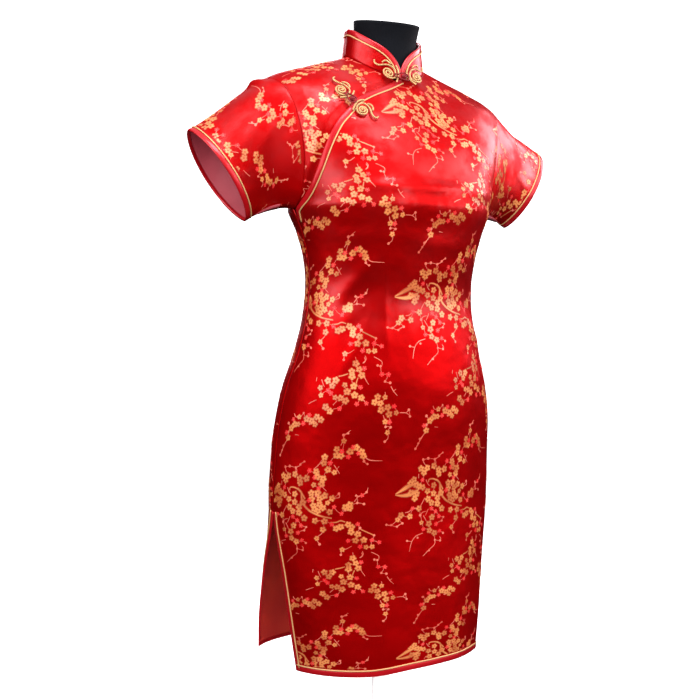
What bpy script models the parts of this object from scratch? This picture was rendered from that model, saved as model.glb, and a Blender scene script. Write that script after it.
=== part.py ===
"""A short cheongsam in its worn shape, on a limbless dress form with a plain stand.

Metres, +Z up. The wearer faces -Y, so the wearer's right is at -X. The origin is on the floor, under the
middle of the stand. Heights in the tables are measured up from the front hem.
"""

import math
from collections import namedtuple

import bmesh
import bpy
from mathutils import Vector

# --- driving sizes -------------------------------------------------------------------------------
HEM_HEIGHT = 0.160  # front hem above the floor
SLIT_TOP = 0.216  # above the hem, where the side seams end
UNDERARM = 0.632  # above the hem, where the side seams meet the armholes
SHOULDER_Y = -0.006  # the shoulder seams run along the top of the shoulders

CLOTH = 0.0012  # lined satin brocade
COLLAR_CLOTH = 0.0018  # the collar is stiffened
SEAM_GAP = 0.0003  # between one piece and the next
BINDING_WIDTH = 0.007
PIPING_WIDTH = 0.0019
BINDING_CLOTH = 0.0008
PIPING_CLOTH = 0.0013
LAP = 0.012  # how far the yoke runs on under the flap
LAP_DROP = 0.0034  # how far the yoke lies below the flap there
LAP_FADE = 0.014  # and the distance over which it rises beyond the flap's edge

NECK_HALF_WIDTH = 0.0595
NECK_FRONT_Y = -0.0620
NECK_BACK_Y = 0.0500
COLLAR_LEAN = 0.10  # inward run for each metre of height

CUFF_HALF_DEPTH = 0.043
CUFF_POINTEDNESS = 1.3  # the cuffs are creased at the top and at the seam below

FORM_CLEARANCE = 0.0100  # between the cloth's outer face and the dress form
FORM_BOTTOM = 0.262  # above the hem
NECK_TOP_TILT = math.radians(15)
POLE_RADIUS = 0.0125
BASE_RADIUS = 0.165
BASE_THICKNESS = 0.014

CORD_RADIUS = 0.00125  # the frogs' satin cord
KNOT_RADIUS = 0.0036

# --- shape tables --------------------------------------------------------------------------------
# Level sections of the body: half width, and the depths of its front, side seam and back.
Section = namedtuple("Section", "height half_width front side back")
BODY = [
    Section(0.000, 0.150, -0.116, 0.000, 0.110),
    Section(0.110, 0.154, -0.114, 0.003, 0.114),
    Section(0.216, 0.1655, -0.112, 0.004, 0.118),
    Section(0.300, 0.164, -0.118, -0.003, 0.115),
    Section(0.345, 0.161, -0.123, -0.010, 0.106),
    Section(0.390, 0.153, -0.123, -0.016, 0.096),
    Section(0.445, 0.137, -0.119, -0.024, 0.079),
    Section(0.510, 0.125, -0.113, -0.025, 0.065),
    Section(0.560, 0.127, -0.125, -0.028, 0.066),
    Section(0.600, 0.136, -0.134, -0.028, 0.077),
    Section(0.632, 0.149, -0.143, -0.026, 0.086),
]
# The armhole's edge as it rises from the underarm (0) to the shoulder (1): its distance from the
# middle, and how far it lies from the side towards the front or back, as a share of that depth.
Armhole = namedtuple("Armhole", "rise edge_x reach")
ARMHOLE = [
    Armhole(0.00, 0.149, 0.00),
    Armhole(0.06, 0.149, 0.19),
    Armhole(0.14, 0.150, 0.31),
    Armhole(0.26, 0.153, 0.40),
    Armhole(0.42, 0.159, 0.45),
    Armhole(0.60, 0.167, 0.47),
    Armhole(0.80, 0.178, 0.46),
    Armhole(1.00, 0.188, 0.45),
]
# The shoulder line's height at a distance from the middle. The wearer's right shoulder is the higher.
Ridge = namedtuple("Ridge", "distance height")
RIDGE = [
    Ridge(0.000, 0.868),
    Ridge(0.030, 0.864),
    Ridge(0.060, 0.851),
    Ridge(0.120, 0.829),
    Ridge(0.165, 0.812),
    Ridge(0.190, 0.799),
]
SHOULDER_TILT = 0.050
# How square the chest and the upper back are, from round (2) to flatter or fuller, at the middle and
# at the armholes.
Fullness = namedtuple("Fullness", "middle armhole")
SHOULDER_FULLNESS = {-1: Fullness(1.40, 2.05), 1: Fullness(4.2, 2.5)}
# The flap's edge from the centre front neck to the wearer's right underarm. Across runs from 0 at the
# centre front to -1 at the side.
FlapEdge = namedtuple("FlapEdge", "across height")
FLAP_NECK_TO_CORNER = [
    FlapEdge(-0.412, 0.780),
    FlapEdge(-0.300, 0.791),
    FlapEdge(-0.140, 0.805),
    FlapEdge(0.000, 0.819),
]
FLAP_CORNER_TO_SIDE = [
    FlapEdge(-1.000, 0.616),
    FlapEdge(-0.930, 0.648),
    FlapEdge(-0.860, 0.680),
    FlapEdge(-0.782, 0.710),
    FlapEdge(-0.657, 0.741),
    FlapEdge(-0.520, 0.763),
    FlapEdge(-0.412, 0.780),
]
# How far the front's hem is above its lowest point, fading out at the slits' tops.
HemRise = namedtuple("HemRise", "across rise")
FRONT_HEM = [
    HemRise(-1.00, 0.000),
    HemRise(-0.40, 0.000),
    HemRise(0.00, 0.008),
    HemRise(0.60, 0.013),
    HemRise(1.00, 0.004),
]
# The panels' free edges below the slits' tops: their distance from the middle, how far they are turned
# from the side as an angle, and how far the back panel's hem is above the front's.
Slit = namedtuple("Slit", "height front_x front_turn back_x back_turn back_rise")
SLIT = [
    Slit(0.000, 0.1410, 0.165, 0.1700, 0.420, 0.024),
    Slit(0.060, 0.1490, 0.140, 0.1710, 0.350, 0.014),
    Slit(0.130, 0.1565, 0.085, 0.1700, 0.200, 0.005),
    Slit(0.190, 0.1635, 0.022, 0.1670, 0.045, 0.000),
    Slit(0.216, 0.1655, 0.002, 0.1655, 0.002, 0.000),
]
# The collar's height at a distance along it from the centre front.
CollarEnd = namedtuple("CollarEnd", "distance height")
COLLAR_END = [
    CollarEnd(0.0000, 0.0130),
    CollarEnd(0.0025, 0.0190),
    CollarEnd(0.0055, 0.0245),
    CollarEnd(0.0110, 0.0310),
    CollarEnd(0.0200, 0.0365),
    CollarEnd(0.0360, 0.0395),
    CollarEnd(0.0800, 0.0400),
]
# The ends of each cuff's long axis.
Cuff = namedtuple("Cuff", "side top_x top_y top_height bottom_x bottom_y bottom_height")
CUFFS = {
    "right": Cuff(-1, -0.2845, 0.020, 0.736, -0.2080, 0.004, 0.6155),
    "left": Cuff(1, 0.2885, 0.020, 0.745, 0.2165, 0.004, 0.6275),
}
# The dress form's neck.
NeckRing = namedtuple("NeckRing", "height middle_y radius")
NECK_RINGS = [
    NeckRing(0.770, 0.000, 0.058),
    NeckRing(0.820, -0.003, 0.0495),
    NeckRing(0.850, -0.008, 0.0452),
    NeckRing(0.880, -0.013, 0.0450),
    NeckRing(0.906, -0.0185, 0.0475),
]
# Soft folds and the bust's cups, as swellings of the front or back panel: where the middle lies seen
# from the front, its slope in degrees, half length, half width and depth.
Swell = namedtuple("Swell", "face x height slope half_length half_width depth")
FRONT, BACK = -1, 1
SWELLS = [
    Swell(FRONT, -0.070, 0.630, 0, 0.050, 0.045, 0.0060),  # cups
    Swell(FRONT, 0.070, 0.630, 0, 0.050, 0.045, 0.0060),
    Swell(FRONT, -0.055, 0.590, -4, 0.070, 0.008, 0.0022),  # folds under the bust
    Swell(FRONT, 0.060, 0.585, 6, 0.065, 0.008, 0.0020),
    Swell(FRONT, -0.098, 0.520, 52, 0.055, 0.010, 0.0034),  # pulls from the waist to the bust
    Swell(FRONT, 0.102, 0.528, -56, 0.050, 0.010, 0.0026),
    Swell(FRONT, -0.112, 0.470, 38, 0.040, 0.009, 0.0024),
    Swell(FRONT, 0.110, 0.462, -40, 0.042, 0.009, 0.0020),
    Swell(BACK, -0.060, 0.520, 8, 0.060, 0.010, 0.0030),  # slack across the hollow of the back
    Swell(BACK, 0.055, 0.500, -6, 0.065, 0.010, 0.0028),
    Swell(BACK, -0.090, 0.470, 40, 0.045, 0.010, 0.0022),
    Swell(BACK, 0.092, 0.478, -42, 0.045, 0.010, 0.0022),
    Swell(FRONT, -0.060, 0.060, 88, 0.110, 0.028, 0.0030),  # soft flutes above the hem
    Swell(FRONT, 0.066, 0.050, 94, 0.100, 0.026, 0.0032),
    Swell(BACK, -0.070, 0.060, 90, 0.100, 0.030, 0.0036),
    Swell(BACK, 0.058, 0.055, 90, 0.110, 0.028, 0.0032),
]

# --- colours: base colour, roughness, metallic ---------------------------------------------------
Finish = namedtuple("Finish", "colour roughness metallic")
FINISHES = {
    "brocade": Finish((0.55, 0.008, 0.016), 0.38, 0.0),
    "satin_binding": Finish((0.62, 0.012, 0.025), 0.32, 0.0),
    "gold_cord": Finish((0.80, 0.50, 0.16), 0.35, 0.3),
    "form_cloth": Finish((0.012, 0.012, 0.014), 0.85, 0.0),
    "stand_paint": Finish((0.85, 0.85, 0.84), 0.40, 0.0),
}


# --- reading the tables --------------------------------------------------------------------------
def spread(low, high, count):
    """count + 1 even values from low to high."""
    return [low + (high - low) * i / count for i in range(count + 1)]


def read(table, where):
    """The table's row at that place, each column on a smooth curve through the rows."""
    keys = [row[0] for row in table]
    where = min(max(where, keys[0]), keys[-1])
    last = len(table) - 1
    i = min(max(sum(1 for key in keys if key <= where) - 1, 0), last - 1)
    step = keys[i + 1] - keys[i]
    t = (where - keys[i]) / step

    def slope(column, k):
        low, high = max(k - 1, 0), min(k + 1, last)
        return (table[high][column] - table[low][column]) / (keys[high] - keys[low])

    values = [where]
    for column in range(1, len(table[0])):
        start, end = table[i][column], table[i + 1][column]
        bend_in, bend_out = slope(column, i) * step, slope(column, i + 1) * step
        values.append(
            start * (1 + 2 * t) * (1 - t) ** 2
            + bend_in * t * (1 - t) ** 2
            + end * t * t * (3 - 2 * t)
            + bend_out * t * t * (t - 1)
        )
    return type(table[0])(*values)


def solve(gap, low, high):
    """Where gap changes sign between low and high, or the end that it is nearer to."""
    if gap(low) * gap(high) > 0:
        return low if abs(gap(low)) < abs(gap(high)) else high
    rising = gap(high) > 0
    for _ in range(36):
        middle = (low + high) / 2
        if (gap(middle) > 0) == rising:
            high = middle
        else:
            low = middle
    return (low + high) / 2


# --- the body's surface --------------------------------------------------------------------------
# A point of it is given by its face, by across, from -1 at the wearer's right edge to 1 at the left,
# and by level, from 0 at the hem to 1 at the underarm and 2 on the shoulder.
SIDE_TURN = 0.002  # half of the side seams' gap, as an angle
SEAM_LEVEL = 1.9968  # just short of the shoulder seam's middle


def swelling(face, x, height):
    total = 0.0
    for swell in SWELLS:
        if swell.face != face:
            continue
        slope = math.radians(swell.slope)
        along = (x - swell.x) * math.cos(slope) + (height - swell.height) * math.sin(slope)
        aside = (height - swell.height) * math.cos(slope) - (x - swell.x) * math.sin(slope)
        far = (along / swell.half_length) ** 2 + (aside / swell.half_width) ** 2
        total += swell.depth * math.exp(-far)
    return total


def slit_edge(face, height):
    """The distance from the middle and the turn of the panel's edge at that height."""
    if height >= SLIT_TOP:
        return read(BODY, height).half_width, SIDE_TURN
    slit = read(SLIT, height)
    if face == FRONT:
        return slit.front_x, slit.front_turn
    return slit.back_x, slit.back_turn


def hem_rise(face, across, height):
    if face == BACK:
        return read(SLIT, height).back_rise
    return read(FRONT_HEM, across).rise * (1 - height / SLIT_TOP) ** 2


def shoulder_height(x):
    return read(RIDGE, abs(x)).height - SHOULDER_TILT * x


def ring(face, level):
    """The level's curve: its edge's distance from the middle, its span as an angle, and its depths."""
    if level <= 1:
        height = UNDERARM * level
        section = read(BODY, height)
        edge_x, turn = slit_edge(face, height)
        span = math.pi / 2 - turn
    else:
        section = BODY[-1]
        armhole = read(ARMHOLE, level - 1)
        edge_x = armhole.edge_x
        span = math.acos(armhole.reach) - SIDE_TURN * (2 - level)
    depth = section.front if face == FRONT else section.back
    return edge_x, span, section.side, depth


def rounding(face, x, rise):
    """How near the depth and the height are to the shoulder line's, from 1 to 0 and from 0 to 1."""
    full = SHOULDER_FULLNESS[face]
    power = full.middle + (full.armhole - full.middle) * min(abs(x) / 0.15, 1) ** 2
    away, up = max(math.cos(rise * math.pi / 2), 0.0), math.sin(rise * math.pi / 2)
    size = (away**power + up**power) ** (-1 / power)
    return away * size, up * size


def body_point(face, across, level, out=0.0):
    """The point of the body's outer surface, moved out by out."""
    if out:
        return body_point(face, across, level) + body_normal(face, across, level) * out
    edge_x, span, side, depth = ring(face, level)
    x = edge_x / math.sin(span) * math.sin(across * span)
    if level <= 1:
        height = UNDERARM * level
        if height < SLIT_TOP:
            height += hem_rise(face, across, height)
    else:
        away, up = rounding(face, x, level - 1)
        side = SHOULDER_Y + (side - SHOULDER_Y) * away
        depth = SHOULDER_Y + (depth - SHOULDER_Y) * away
        height = UNDERARM + (shoulder_height(x) - UNDERARM) * up
    y = side + (depth - side) * math.cos(across * span)
    y += face * swelling(face, x, height)
    return Vector((x, y, HEM_HEIGHT + height))


def across_at(face, x, level):
    edge_x, span, _, _ = ring(face, level)
    return math.asin(min(max(x / edge_x * math.sin(span), -1), 1)) / span


def on_body(face, x, height, out=0.0):
    """The body's point at that distance from the middle and height above the hem."""

    def above(level):
        return body_point(face, across_at(face, x, level), level).z - HEM_HEIGHT - height

    level = solve(above, 0, SEAM_LEVEL)
    return body_point(face, across_at(face, x, level), level, out)


def body_normal(face, across, level):
    step = 0.004
    low, high = max(level - step, 0.0), min(level + step, 1.999)
    left, right = max(across - step, -1), min(across + step, 1)
    up = body_point(face, across, high) - body_point(face, across, low)
    side = body_point(face, right, level) - body_point(face, left, level)
    return side.cross(up).normalized() * -face


def neck_level(face, across):
    """The level at which this column meets the neckline, or the shoulder seam."""
    middle_y = (NECK_FRONT_Y + NECK_BACK_Y) / 2
    half_depth = (NECK_BACK_Y - NECK_FRONT_Y) / 2

    def outside(level):
        point = body_point(face, across, level)
        return math.hypot(point.x / NECK_HALF_WIDTH, (point.y - middle_y) / half_depth) - 1

    return SEAM_LEVEL if outside(SEAM_LEVEL) > -0.001 else solve(outside, 1.2, SEAM_LEVEL)


def flap_level(across):
    """The level of the flap's edge on the wearer's right half of the front."""
    corner = FLAP_NECK_TO_CORNER[0].across
    height = read(FLAP_NECK_TO_CORNER if across > corner else FLAP_CORNER_TO_SIDE, across).height

    def above(level):
        return body_point(FRONT, across, level).z - HEM_HEIGHT - height

    return min(solve(above, 0.85, SEAM_LEVEL), neck_level(FRONT, across))


def front_top(across):
    return flap_level(across) if across < 0 else neck_level(FRONT, across)


def to_segment(point, start, end):
    along = end - start
    share = (point - start).dot(along) / along.length_squared
    return (point - start - along * min(max(share, 0), 1)).length


def level_inside(face, across, top, edge, distance):
    """The level that lies that far below the edge, a line of points, on this column."""

    def spare(level):
        point = body_point(face, across, level)
        return distance - min(to_segment(point, a, b) for a, b in zip(edge, edge[1:]))

    return solve(spare, top - 0.25, top)


# --- making objects ------------------------------------------------------------------------------
def clear_scene():
    for obj in list(bpy.data.objects):
        bpy.data.objects.remove(obj)


def make_materials():
    made = {}
    for name, finish in FINISHES.items():
        material = bpy.data.materials.new(name)
        material.use_nodes = True
        shader = material.node_tree.nodes["Principled BSDF"]
        shader.inputs["Base Color"].default_value = (*finish.colour, 1)
        shader.inputs["Roughness"].default_value = finish.roughness
        shader.inputs["Metallic"].default_value = finish.metallic
        made[name] = material
    return made


def add_object(name, mesh, material, helper=False):
    obj = bpy.data.objects.new(name, mesh)
    (cutters if helper else dress).objects.link(obj)
    obj.hide_render = helper
    if helper:
        obj.display_type = "WIRE"
    mesh.materials.append(materials[material])
    if hasattr(mesh, "shade_smooth"):
        mesh.shade_smooth()
    return obj


def thicken(obj, thickness):
    """Gives an open surface a wall on its inner side."""
    wall = obj.modifiers.new("wall", "SOLIDIFY")
    wall.thickness = thickness
    wall.offset = -1
    wall.use_even_offset = True
    return obj


class Sheet:
    """A piece of cloth as a grid of points, with columns across and rows up."""

    def __init__(self, columns, rows, place, closed=False):
        self.columns, self.rows, self.closed = columns, rows, closed
        mesh = bpy.data.meshes.new("sheet")
        grid = bmesh.new()
        bmesh.ops.create_grid(grid, x_segments=columns, y_segments=rows, size=1)
        grid.verts.ensure_lookup_table()
        for vertex in grid.verts:
            column, row = vertex.index % (columns + 1), vertex.index // (columns + 1)
            vertex.co = place(column, row)
        if closed:
            bmesh.ops.remove_doubles(grid, verts=grid.verts, dist=1e-5)
        grid.normal_update()
        grid.to_mesh(mesh)
        grid.free()
        self.mesh = mesh

    def piece(self, name, material, thickness, out=0.0, keep=None):
        """A solid made from the sheet's points, moved out. keep picks cells by column and row."""
        shape = bmesh.new()
        shape.from_mesh(self.mesh)
        shape.faces.ensure_lookup_table()
        moved = [(v, v.normal * out) for v in shape.verts]
        for vertex, move in moved:
            vertex.co += move
        if keep:
            unused = [
                face
                for face in shape.faces
                if not keep(face.index % self.columns, face.index // self.columns)
            ]
            bmesh.ops.delete(shape, geom=unused, context="FACES")
        mesh = bpy.data.meshes.new(name)
        shape.to_mesh(mesh)
        shape.free()
        return thicken(add_object(name, mesh, material), thickness)

    def trim(self, name, binding, piping):
        """The satin binding and the gold piping that lie along the sheet's edges."""
        binding_top = SEAM_GAP + BINDING_CLOTH
        piping_top = SEAM_GAP + PIPING_CLOTH
        self.piece(name + "_binding", "satin_binding", BINDING_CLOTH, binding_top, binding)
        self.piece(name + "_piping", "gold_cord", PIPING_CLOTH, piping_top, piping)


# Distances of a trimmed edge's grid lines from the edge: the binding, a gap and the piping.
TRIM_LINES = [0.0, BINDING_WIDTH, BINDING_WIDTH + 0.0004, BINDING_WIDTH + 0.0004 + PIPING_WIDTH]
TRIM_CELLS = len(TRIM_LINES) - 1
FLAP_SAMPLES = 60


# --- front, back and yoke ------------------------------------------------------------------------
HALF_GIRTH = 0.215  # of the skirt, from the centre to the side
NECK_STEPS = 5  # columns from the centre to the side of the neck
SIDE_STEPS = 8  # and from there to the piping


def panel_columns():
    """Across values with a trimmed edge at both sides, and a column at each corner of the neck."""
    edge_x, reach = ARMHOLE[-1].edge_x, math.acos(ARMHOLE[-1].reach)
    neck = []
    for angle in spread(math.pi / 2, 0, NECK_STEPS):
        neck.append(math.asin(NECK_HALF_WIDTH * math.sin(angle) * math.sin(reach) / edge_x) / reach)
    edge = [1 - line / HALF_GIRTH for line in TRIM_LINES]
    sides = [edge[-1] + (neck[0] - edge[-1]) * share**1.2 for share in spread(0, 1, SIDE_STEPS)]
    half = edge[:-1] + sides[:-1] + neck
    return [-across for across in half] + half[::-1][1:]


PanelRows = namedtuple("PanelRows", "skirt bodice chest")


def column_levels(rows, top_lines):
    """The levels of one column: hem trim, skirt, bodice, chest, and the lines at the top edge."""
    hem = [line / UNDERARM for line in TRIM_LINES]
    slit = SLIT_TOP / UNDERARM
    bust = slit + (1 - slit) * 0.9
    chest = min(1.0, bust + (top_lines[0] - bust) * 0.3)
    rise = [share**1.25 for share in spread(0, 1, rows.chest)]
    levels = hem[:-1] + spread(hem[-1], slit, rows.skirt)[:-1] + spread(slit, bust, rows.bodice)
    return levels + [chest + (top_lines[0] - chest) * share for share in rise[:-1]] + top_lines


def hem_tests(columns, rows):
    """Tests for the cells of the binding and the piping that run up both slits and along the hem."""
    skirt_rows = TRIM_CELLS + rows.skirt
    last = columns - 1

    def from_edge(column, row):
        return min(column, last - column, row) if row < skirt_rows else TRIM_CELLS

    return (lambda c, r: from_edge(c, r) == 0), (lambda c, r: from_edge(c, r) == TRIM_CELLS - 1)


def flap_edge():
    return [body_point(FRONT, across, flap_level(across)) for across in spread(-1, 0, FLAP_SAMPLES)]


def make_front():
    columns = panel_columns()
    edge = flap_edge()
    rows = PanelRows(5, 10, 8)
    levels = []
    for across in columns:
        top = front_top(across)
        if across < 0:
            lines = [level_inside(FRONT, across, top, edge, line) for line in TRIM_LINES[:0:-1]]
        else:
            lines = [top - 3 * line for line in TRIM_LINES[:0:-1]]
        levels.append(column_levels(rows, lines + [top]))
    across_cells, up_cells = len(columns) - 1, len(levels[0]) - 1
    sheet = Sheet(across_cells, up_cells, lambda c, r: body_point(FRONT, columns[c], levels[c][r]))
    sheet.piece("front", "brocade", CLOTH)
    sheet.trim("front_hem", *hem_tests(across_cells, rows))
    middle = columns.index(0)
    sheet.trim(
        "flap",
        lambda c, r: c < middle and r == up_cells - 1,
        lambda c, r: c < middle and r == up_cells - TRIM_CELLS,
    )


def make_back():
    columns = panel_columns()[::-1]
    rows = PanelRows(5, 9, 8)
    levels = [column_levels(rows, [neck_level(BACK, across)]) for across in columns]
    across_cells, up_cells = len(columns) - 1, len(levels[0]) - 1
    sheet = Sheet(across_cells, up_cells, lambda c, r: body_point(BACK, columns[c], levels[c][r]))
    sheet.piece("back", "brocade", CLOTH)
    sheet.trim("back_hem", *hem_tests(across_cells, rows))


YOKE_SHARES = [0.0001, 0.05, 0.12, 0.21, 0.32, 0.45, 0.60, 0.76, 0.90, 1.0]


def make_yoke():
    """The wearer's right shoulder piece, which runs on under the flap."""
    columns = [across for across in panel_columns() if across <= 0]
    edge = flap_edge()
    places = []
    for across in columns:
        cut = flap_level(across)
        under = [level_inside(FRONT, across, cut, edge, LAP * share) for share in (1, 0.66, 0.33)]
        top = neck_level(FRONT, across)
        column = [body_point(FRONT, across, level, -LAP_DROP) for level in (*under, cut)]
        for share in YOKE_SHARES:
            level = cut + (top - cut) * share
            point = body_point(FRONT, across, level)
            beyond = min(min(to_segment(point, a, b) for a, b in zip(edge, edge[1:])) / LAP_FADE, 1)
            drop = LAP_DROP * (1 - beyond**2 * (3 - 2 * beyond))
            column.append(body_point(FRONT, across, level, -drop))
        places.append(column)
    sheet = Sheet(len(columns) - 1, len(places[0]) - 1, lambda c, r: places[c][r])
    sheet.piece("yoke", "brocade", CLOTH)


# --- sleeves -------------------------------------------------------------------------------------
SLEEVE_COLUMNS = 24
SLEEVE_ROWS = 5


def armhole_point(side, turn):
    """The armhole's edge, from the underarm (0) up the front to the shoulder (0.5) and down the back."""
    face, rise = (FRONT, 2 * turn) if turn < 0.5 else (BACK, 2 - 2 * turn)
    edge = body_point(face, side, 1 + rise)
    outward = (edge - body_point(face, side * 0.97, 1 + rise)).normalized()
    return edge, outward


def cuff_point(cuff, turn):
    top = Vector((cuff.top_x, cuff.top_y, HEM_HEIGHT + cuff.top_height))
    bottom = Vector((cuff.bottom_x, cuff.bottom_y, HEM_HEIGHT + cuff.bottom_height))
    along = -math.cos(turn * 2 * math.pi) / 2
    aside = math.sin(turn * 2 * math.pi)
    depth = math.copysign(abs(aside) ** CUFF_POINTEDNESS, -aside) * CUFF_HALF_DEPTH
    return (top + bottom) / 2 + (top - bottom) * along + Vector((0, depth, 0))


def sleeve_point(cuff, turn, share):
    """The sleeve's surface from the armhole (0) to the cuff (1)."""
    edge, outward = armhole_point(cuff.side, turn)
    end = cuff_point(cuff, turn)
    slope = math.radians(-17 + 31 * math.cos(turn * 2 * math.pi))
    fall = Vector((cuff.side * math.cos(slope), 0, math.sin(slope)))
    leave = (outward * 0.45 + fall * 0.55).normalized()
    crease = outward.cross(leave).length
    start = edge + outward * 2 * SEAM_GAP + leave * (SEAM_GAP + CLOTH * crease)
    long_axis = cuff_point(cuff, 0.5) - cuff_point(cuff, 0)
    arrive = long_axis.cross(Vector((0, -cuff.side, 0))).normalized()
    reach = (end - start).length
    t = share
    return (
        start * (2 * t**3 - 3 * t**2 + 1)
        + leave * reach * (t**3 - 2 * t**2 + t)
        + end * (3 * t**2 - 2 * t**3)
        + arrive * reach * (t**3 - t**2)
    )


def make_sleeve(name, cuff):
    length = (cuff_point(cuff, 0.25) - armhole_point(cuff.side, 0.25)[0]).length
    trimmed = [1 - line / length for line in TRIM_LINES[::-1]]
    shares = spread(0, trimmed[0], SLEEVE_ROWS)[:-1] + trimmed

    def place(column, row):
        turn = (column % SLEEVE_COLUMNS) / SLEEVE_COLUMNS
        return sleeve_point(cuff, turn if cuff.side < 0 else 1 - turn, shares[row])

    rows = len(shares) - 1
    sheet = Sheet(SLEEVE_COLUMNS, rows, place, closed=True)
    sheet.piece("sleeve_" + name, "brocade", CLOTH)
    sheet.trim("sleeve_" + name, lambda c, r: r == rows - 1, lambda c, r: r == rows - TRIM_CELLS)


# --- collar --------------------------------------------------------------------------------------
def neck_edge():
    """The neckline's points from the centre front, by the wearer's left, and round to it again."""
    neck = [across for across in panel_columns() if across >= 0][: NECK_STEPS + 1]
    front = [body_point(FRONT, across, neck_level(FRONT, across)) for across in neck]
    right = [body_point(FRONT, -across, neck_level(FRONT, -across)) for across in neck]
    back_columns = [*neck[:-1][::-1], *[-across for across in neck[1:-1]]]
    back = [body_point(BACK, across, neck_level(BACK, across)) for across in back_columns]
    return front + back + right[::-1]


class Collar:
    """The collar's flat shape, as distances along the neckline and heights above it."""

    def __init__(self):
        self.edge = neck_edge()
        self.stops = [0.0]
        for a, b in zip(self.edge, self.edge[1:]):
            self.stops.append(self.stops[-1] + (b - a).length)
        self.length = self.stops[-1]

    def height(self, distance):
        return read(COLLAR_END, min(distance, self.length - distance)).height

    def point(self, distance, height, out=0.0):
        i = min(sum(1 for stop in self.stops if stop <= distance) - 1, len(self.edge) - 2)
        i = max(i, 0)
        a, b = self.edge[i], self.edge[i + 1]
        foot = a.lerp(b, (distance - self.stops[i]) / (self.stops[i + 1] - self.stops[i]))
        axis = Vector((0, (NECK_FRONT_Y + NECK_BACK_Y) / 2, foot.z))
        inward = (axis - foot).normalized()
        return foot + inward * (COLLAR_LEAN * height - out) + Vector((0, 0, SEAM_GAP + height))

    def columns(self):
        """Distances with a column at each of the neckline's points, and finer near the ends."""
        ends = [row.distance for row in COLLAR_END if row.distance < self.stops[1]]
        inner = self.stops[1:-1]
        gap = [SEAM_GAP / 2] + ends[1:]
        return gap + inner + [self.length - distance for distance in gap[::-1]]


def offset_line(line, inward):
    """The flat line moved to its right by inward."""
    moved = []
    for i, point in enumerate(line):
        before, after = line[max(i - 1, 0)], line[min(i + 1, len(line) - 1)]
        along = (after - before).normalized()
        moved.append(point + Vector((along.y, -along.x)) * inward)
    return moved


def make_collar():
    collar = Collar()
    columns = collar.columns()
    shares = spread(0, 1, 5)

    def place(column, row):
        distance = columns[column]
        return collar.point(distance, collar.height(distance) * shares[row])

    Sheet(len(columns) - 1, len(shares) - 1, place).piece("collar", "brocade", COLLAR_CLOTH)
    gap, length = SEAM_GAP / 2, collar.length
    start, finish = collar.height(0), collar.height(length)
    edge = [Vector((gap, start * share)) for share in (0.05, 0.5)]
    edge += [Vector((distance, collar.height(distance))) for distance in columns]
    edge += [Vector((length - gap, finish * share)) for share in (0.5, 0.05)]
    lines = [offset_line(edge, line) for line in TRIM_LINES]
    for name, material, thickness, cell in (
        ("collar_binding", "satin_binding", BINDING_CLOTH, 0),
        ("collar_piping", "gold_cord", PIPING_CLOTH, TRIM_CELLS - 1),
    ):
        pair = lines[cell + 1], lines[cell]
        out = 2 * SEAM_GAP + thickness
        sheet = Sheet(len(edge) - 1, 1, lambda c, r: collar.point(*pair[r][c], out))
        sheet.piece(name, material, thickness)
    return collar


# --- frogs ---------------------------------------------------------------------------------------
# Each half of a frog is a rose of cord with a scroll, a leaf and a petal, as flat millimetres from the
# rose's middle: right is towards the knot and up is up. Its cords don't cross.
Spot = namedtuple("Spot", "right up")
ROSE_TURNS = 2.0
ROSE_START, ROSE_PITCH = 1.3, 3.3
ROSE_END_ANGLE = math.radians(-60)
SCROLL = [
    Spot(8.9, -2.5),
    Spot(10.0, 2.5),
    Spot(9.0, 7.6),
    Spot(5.4, 11.2),
    Spot(0.5, 12.0),
    Spot(-4.5, 10.8),
    Spot(-9.0, 8.3),
    Spot(-13.5, 6.3),
    Spot(-17.6, 5.9),
    Spot(-20.3, 7.6),
    Spot(-20.4, 10.4),
]
LEAF = [
    Spot(11.5, 14.5),
    Spot(13.8, 9.5),
    Spot(14.2, 4.5),
    Spot(13.0, -1.0),
    Spot(10.9, -5.6),
    Spot(8.6, -10.4),
]
PETAL = [Spot(3.0, 15.0), Spot(-0.5, 17.0), Spot(-4.8, 16.4), Spot(-8.2, 13.0)]
FROG_REACH = 0.0205  # from the frog's middle to each rose's
LOOP_RADIUS = 0.0009
LOOP = [
    Spot(-13.0, 1.5),
    Spot(-8.0, 2.6),
    Spot(-3.9, 4.7),
    Spot(1.3, 5.5),
    Spot(5.1, 2.8),
    Spot(5.7, -1.3),
    Spot(3.0, -5.0),
    Spot(-2.4, -5.3),
    Spot(-8.0, -2.6),
    Spot(-13.0, -1.5),
]
TRIM_TOP = 0.0022  # what lies over the trims is this far above the cloth
COLLAR_FROG_RISE = 0.0025  # its middle above the collar's foot
COLLAR_FROG_BRIDGE = 0.006  # how far around the collar's foot it bends from the collar to the chest
CHEST_SLOPE = 1.35  # outward run of the chest for each metre down, next to the neck
CHEST_FROG_RIGHT = (-0.1027, 0.7904)  # each rose's distance from the middle and height
CHEST_FROG_LEFT = (-0.0768, 0.7582)


def cord(name, points, radius, material):
    curve = bpy.data.curves.new(name, "CURVE")
    curve.dimensions = "3D"
    curve.bevel_depth = radius
    curve.bevel_resolution = 1
    curve.use_fill_caps = True
    spline = curve.splines.new("POLY")
    spline.points.add(len(points) - 1)
    for knot, point in zip(spline.points, points):
        knot.co = (*point, 1)
    return add_object(name, curve, material)


def rose():
    """The rose's spiral from its middle, and the scroll that it runs out into."""
    steps = int(9 * ROSE_TURNS)
    path = []
    for turned_by in spread(0, ROSE_TURNS, steps):
        angle = ROSE_END_ANGLE - (ROSE_TURNS - turned_by) * 2 * math.pi
        radius = ROSE_START + ROSE_PITCH * turned_by
        path.append(Spot(radius * math.cos(angle), radius * math.sin(angle)))
    return path + SCROLL


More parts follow.
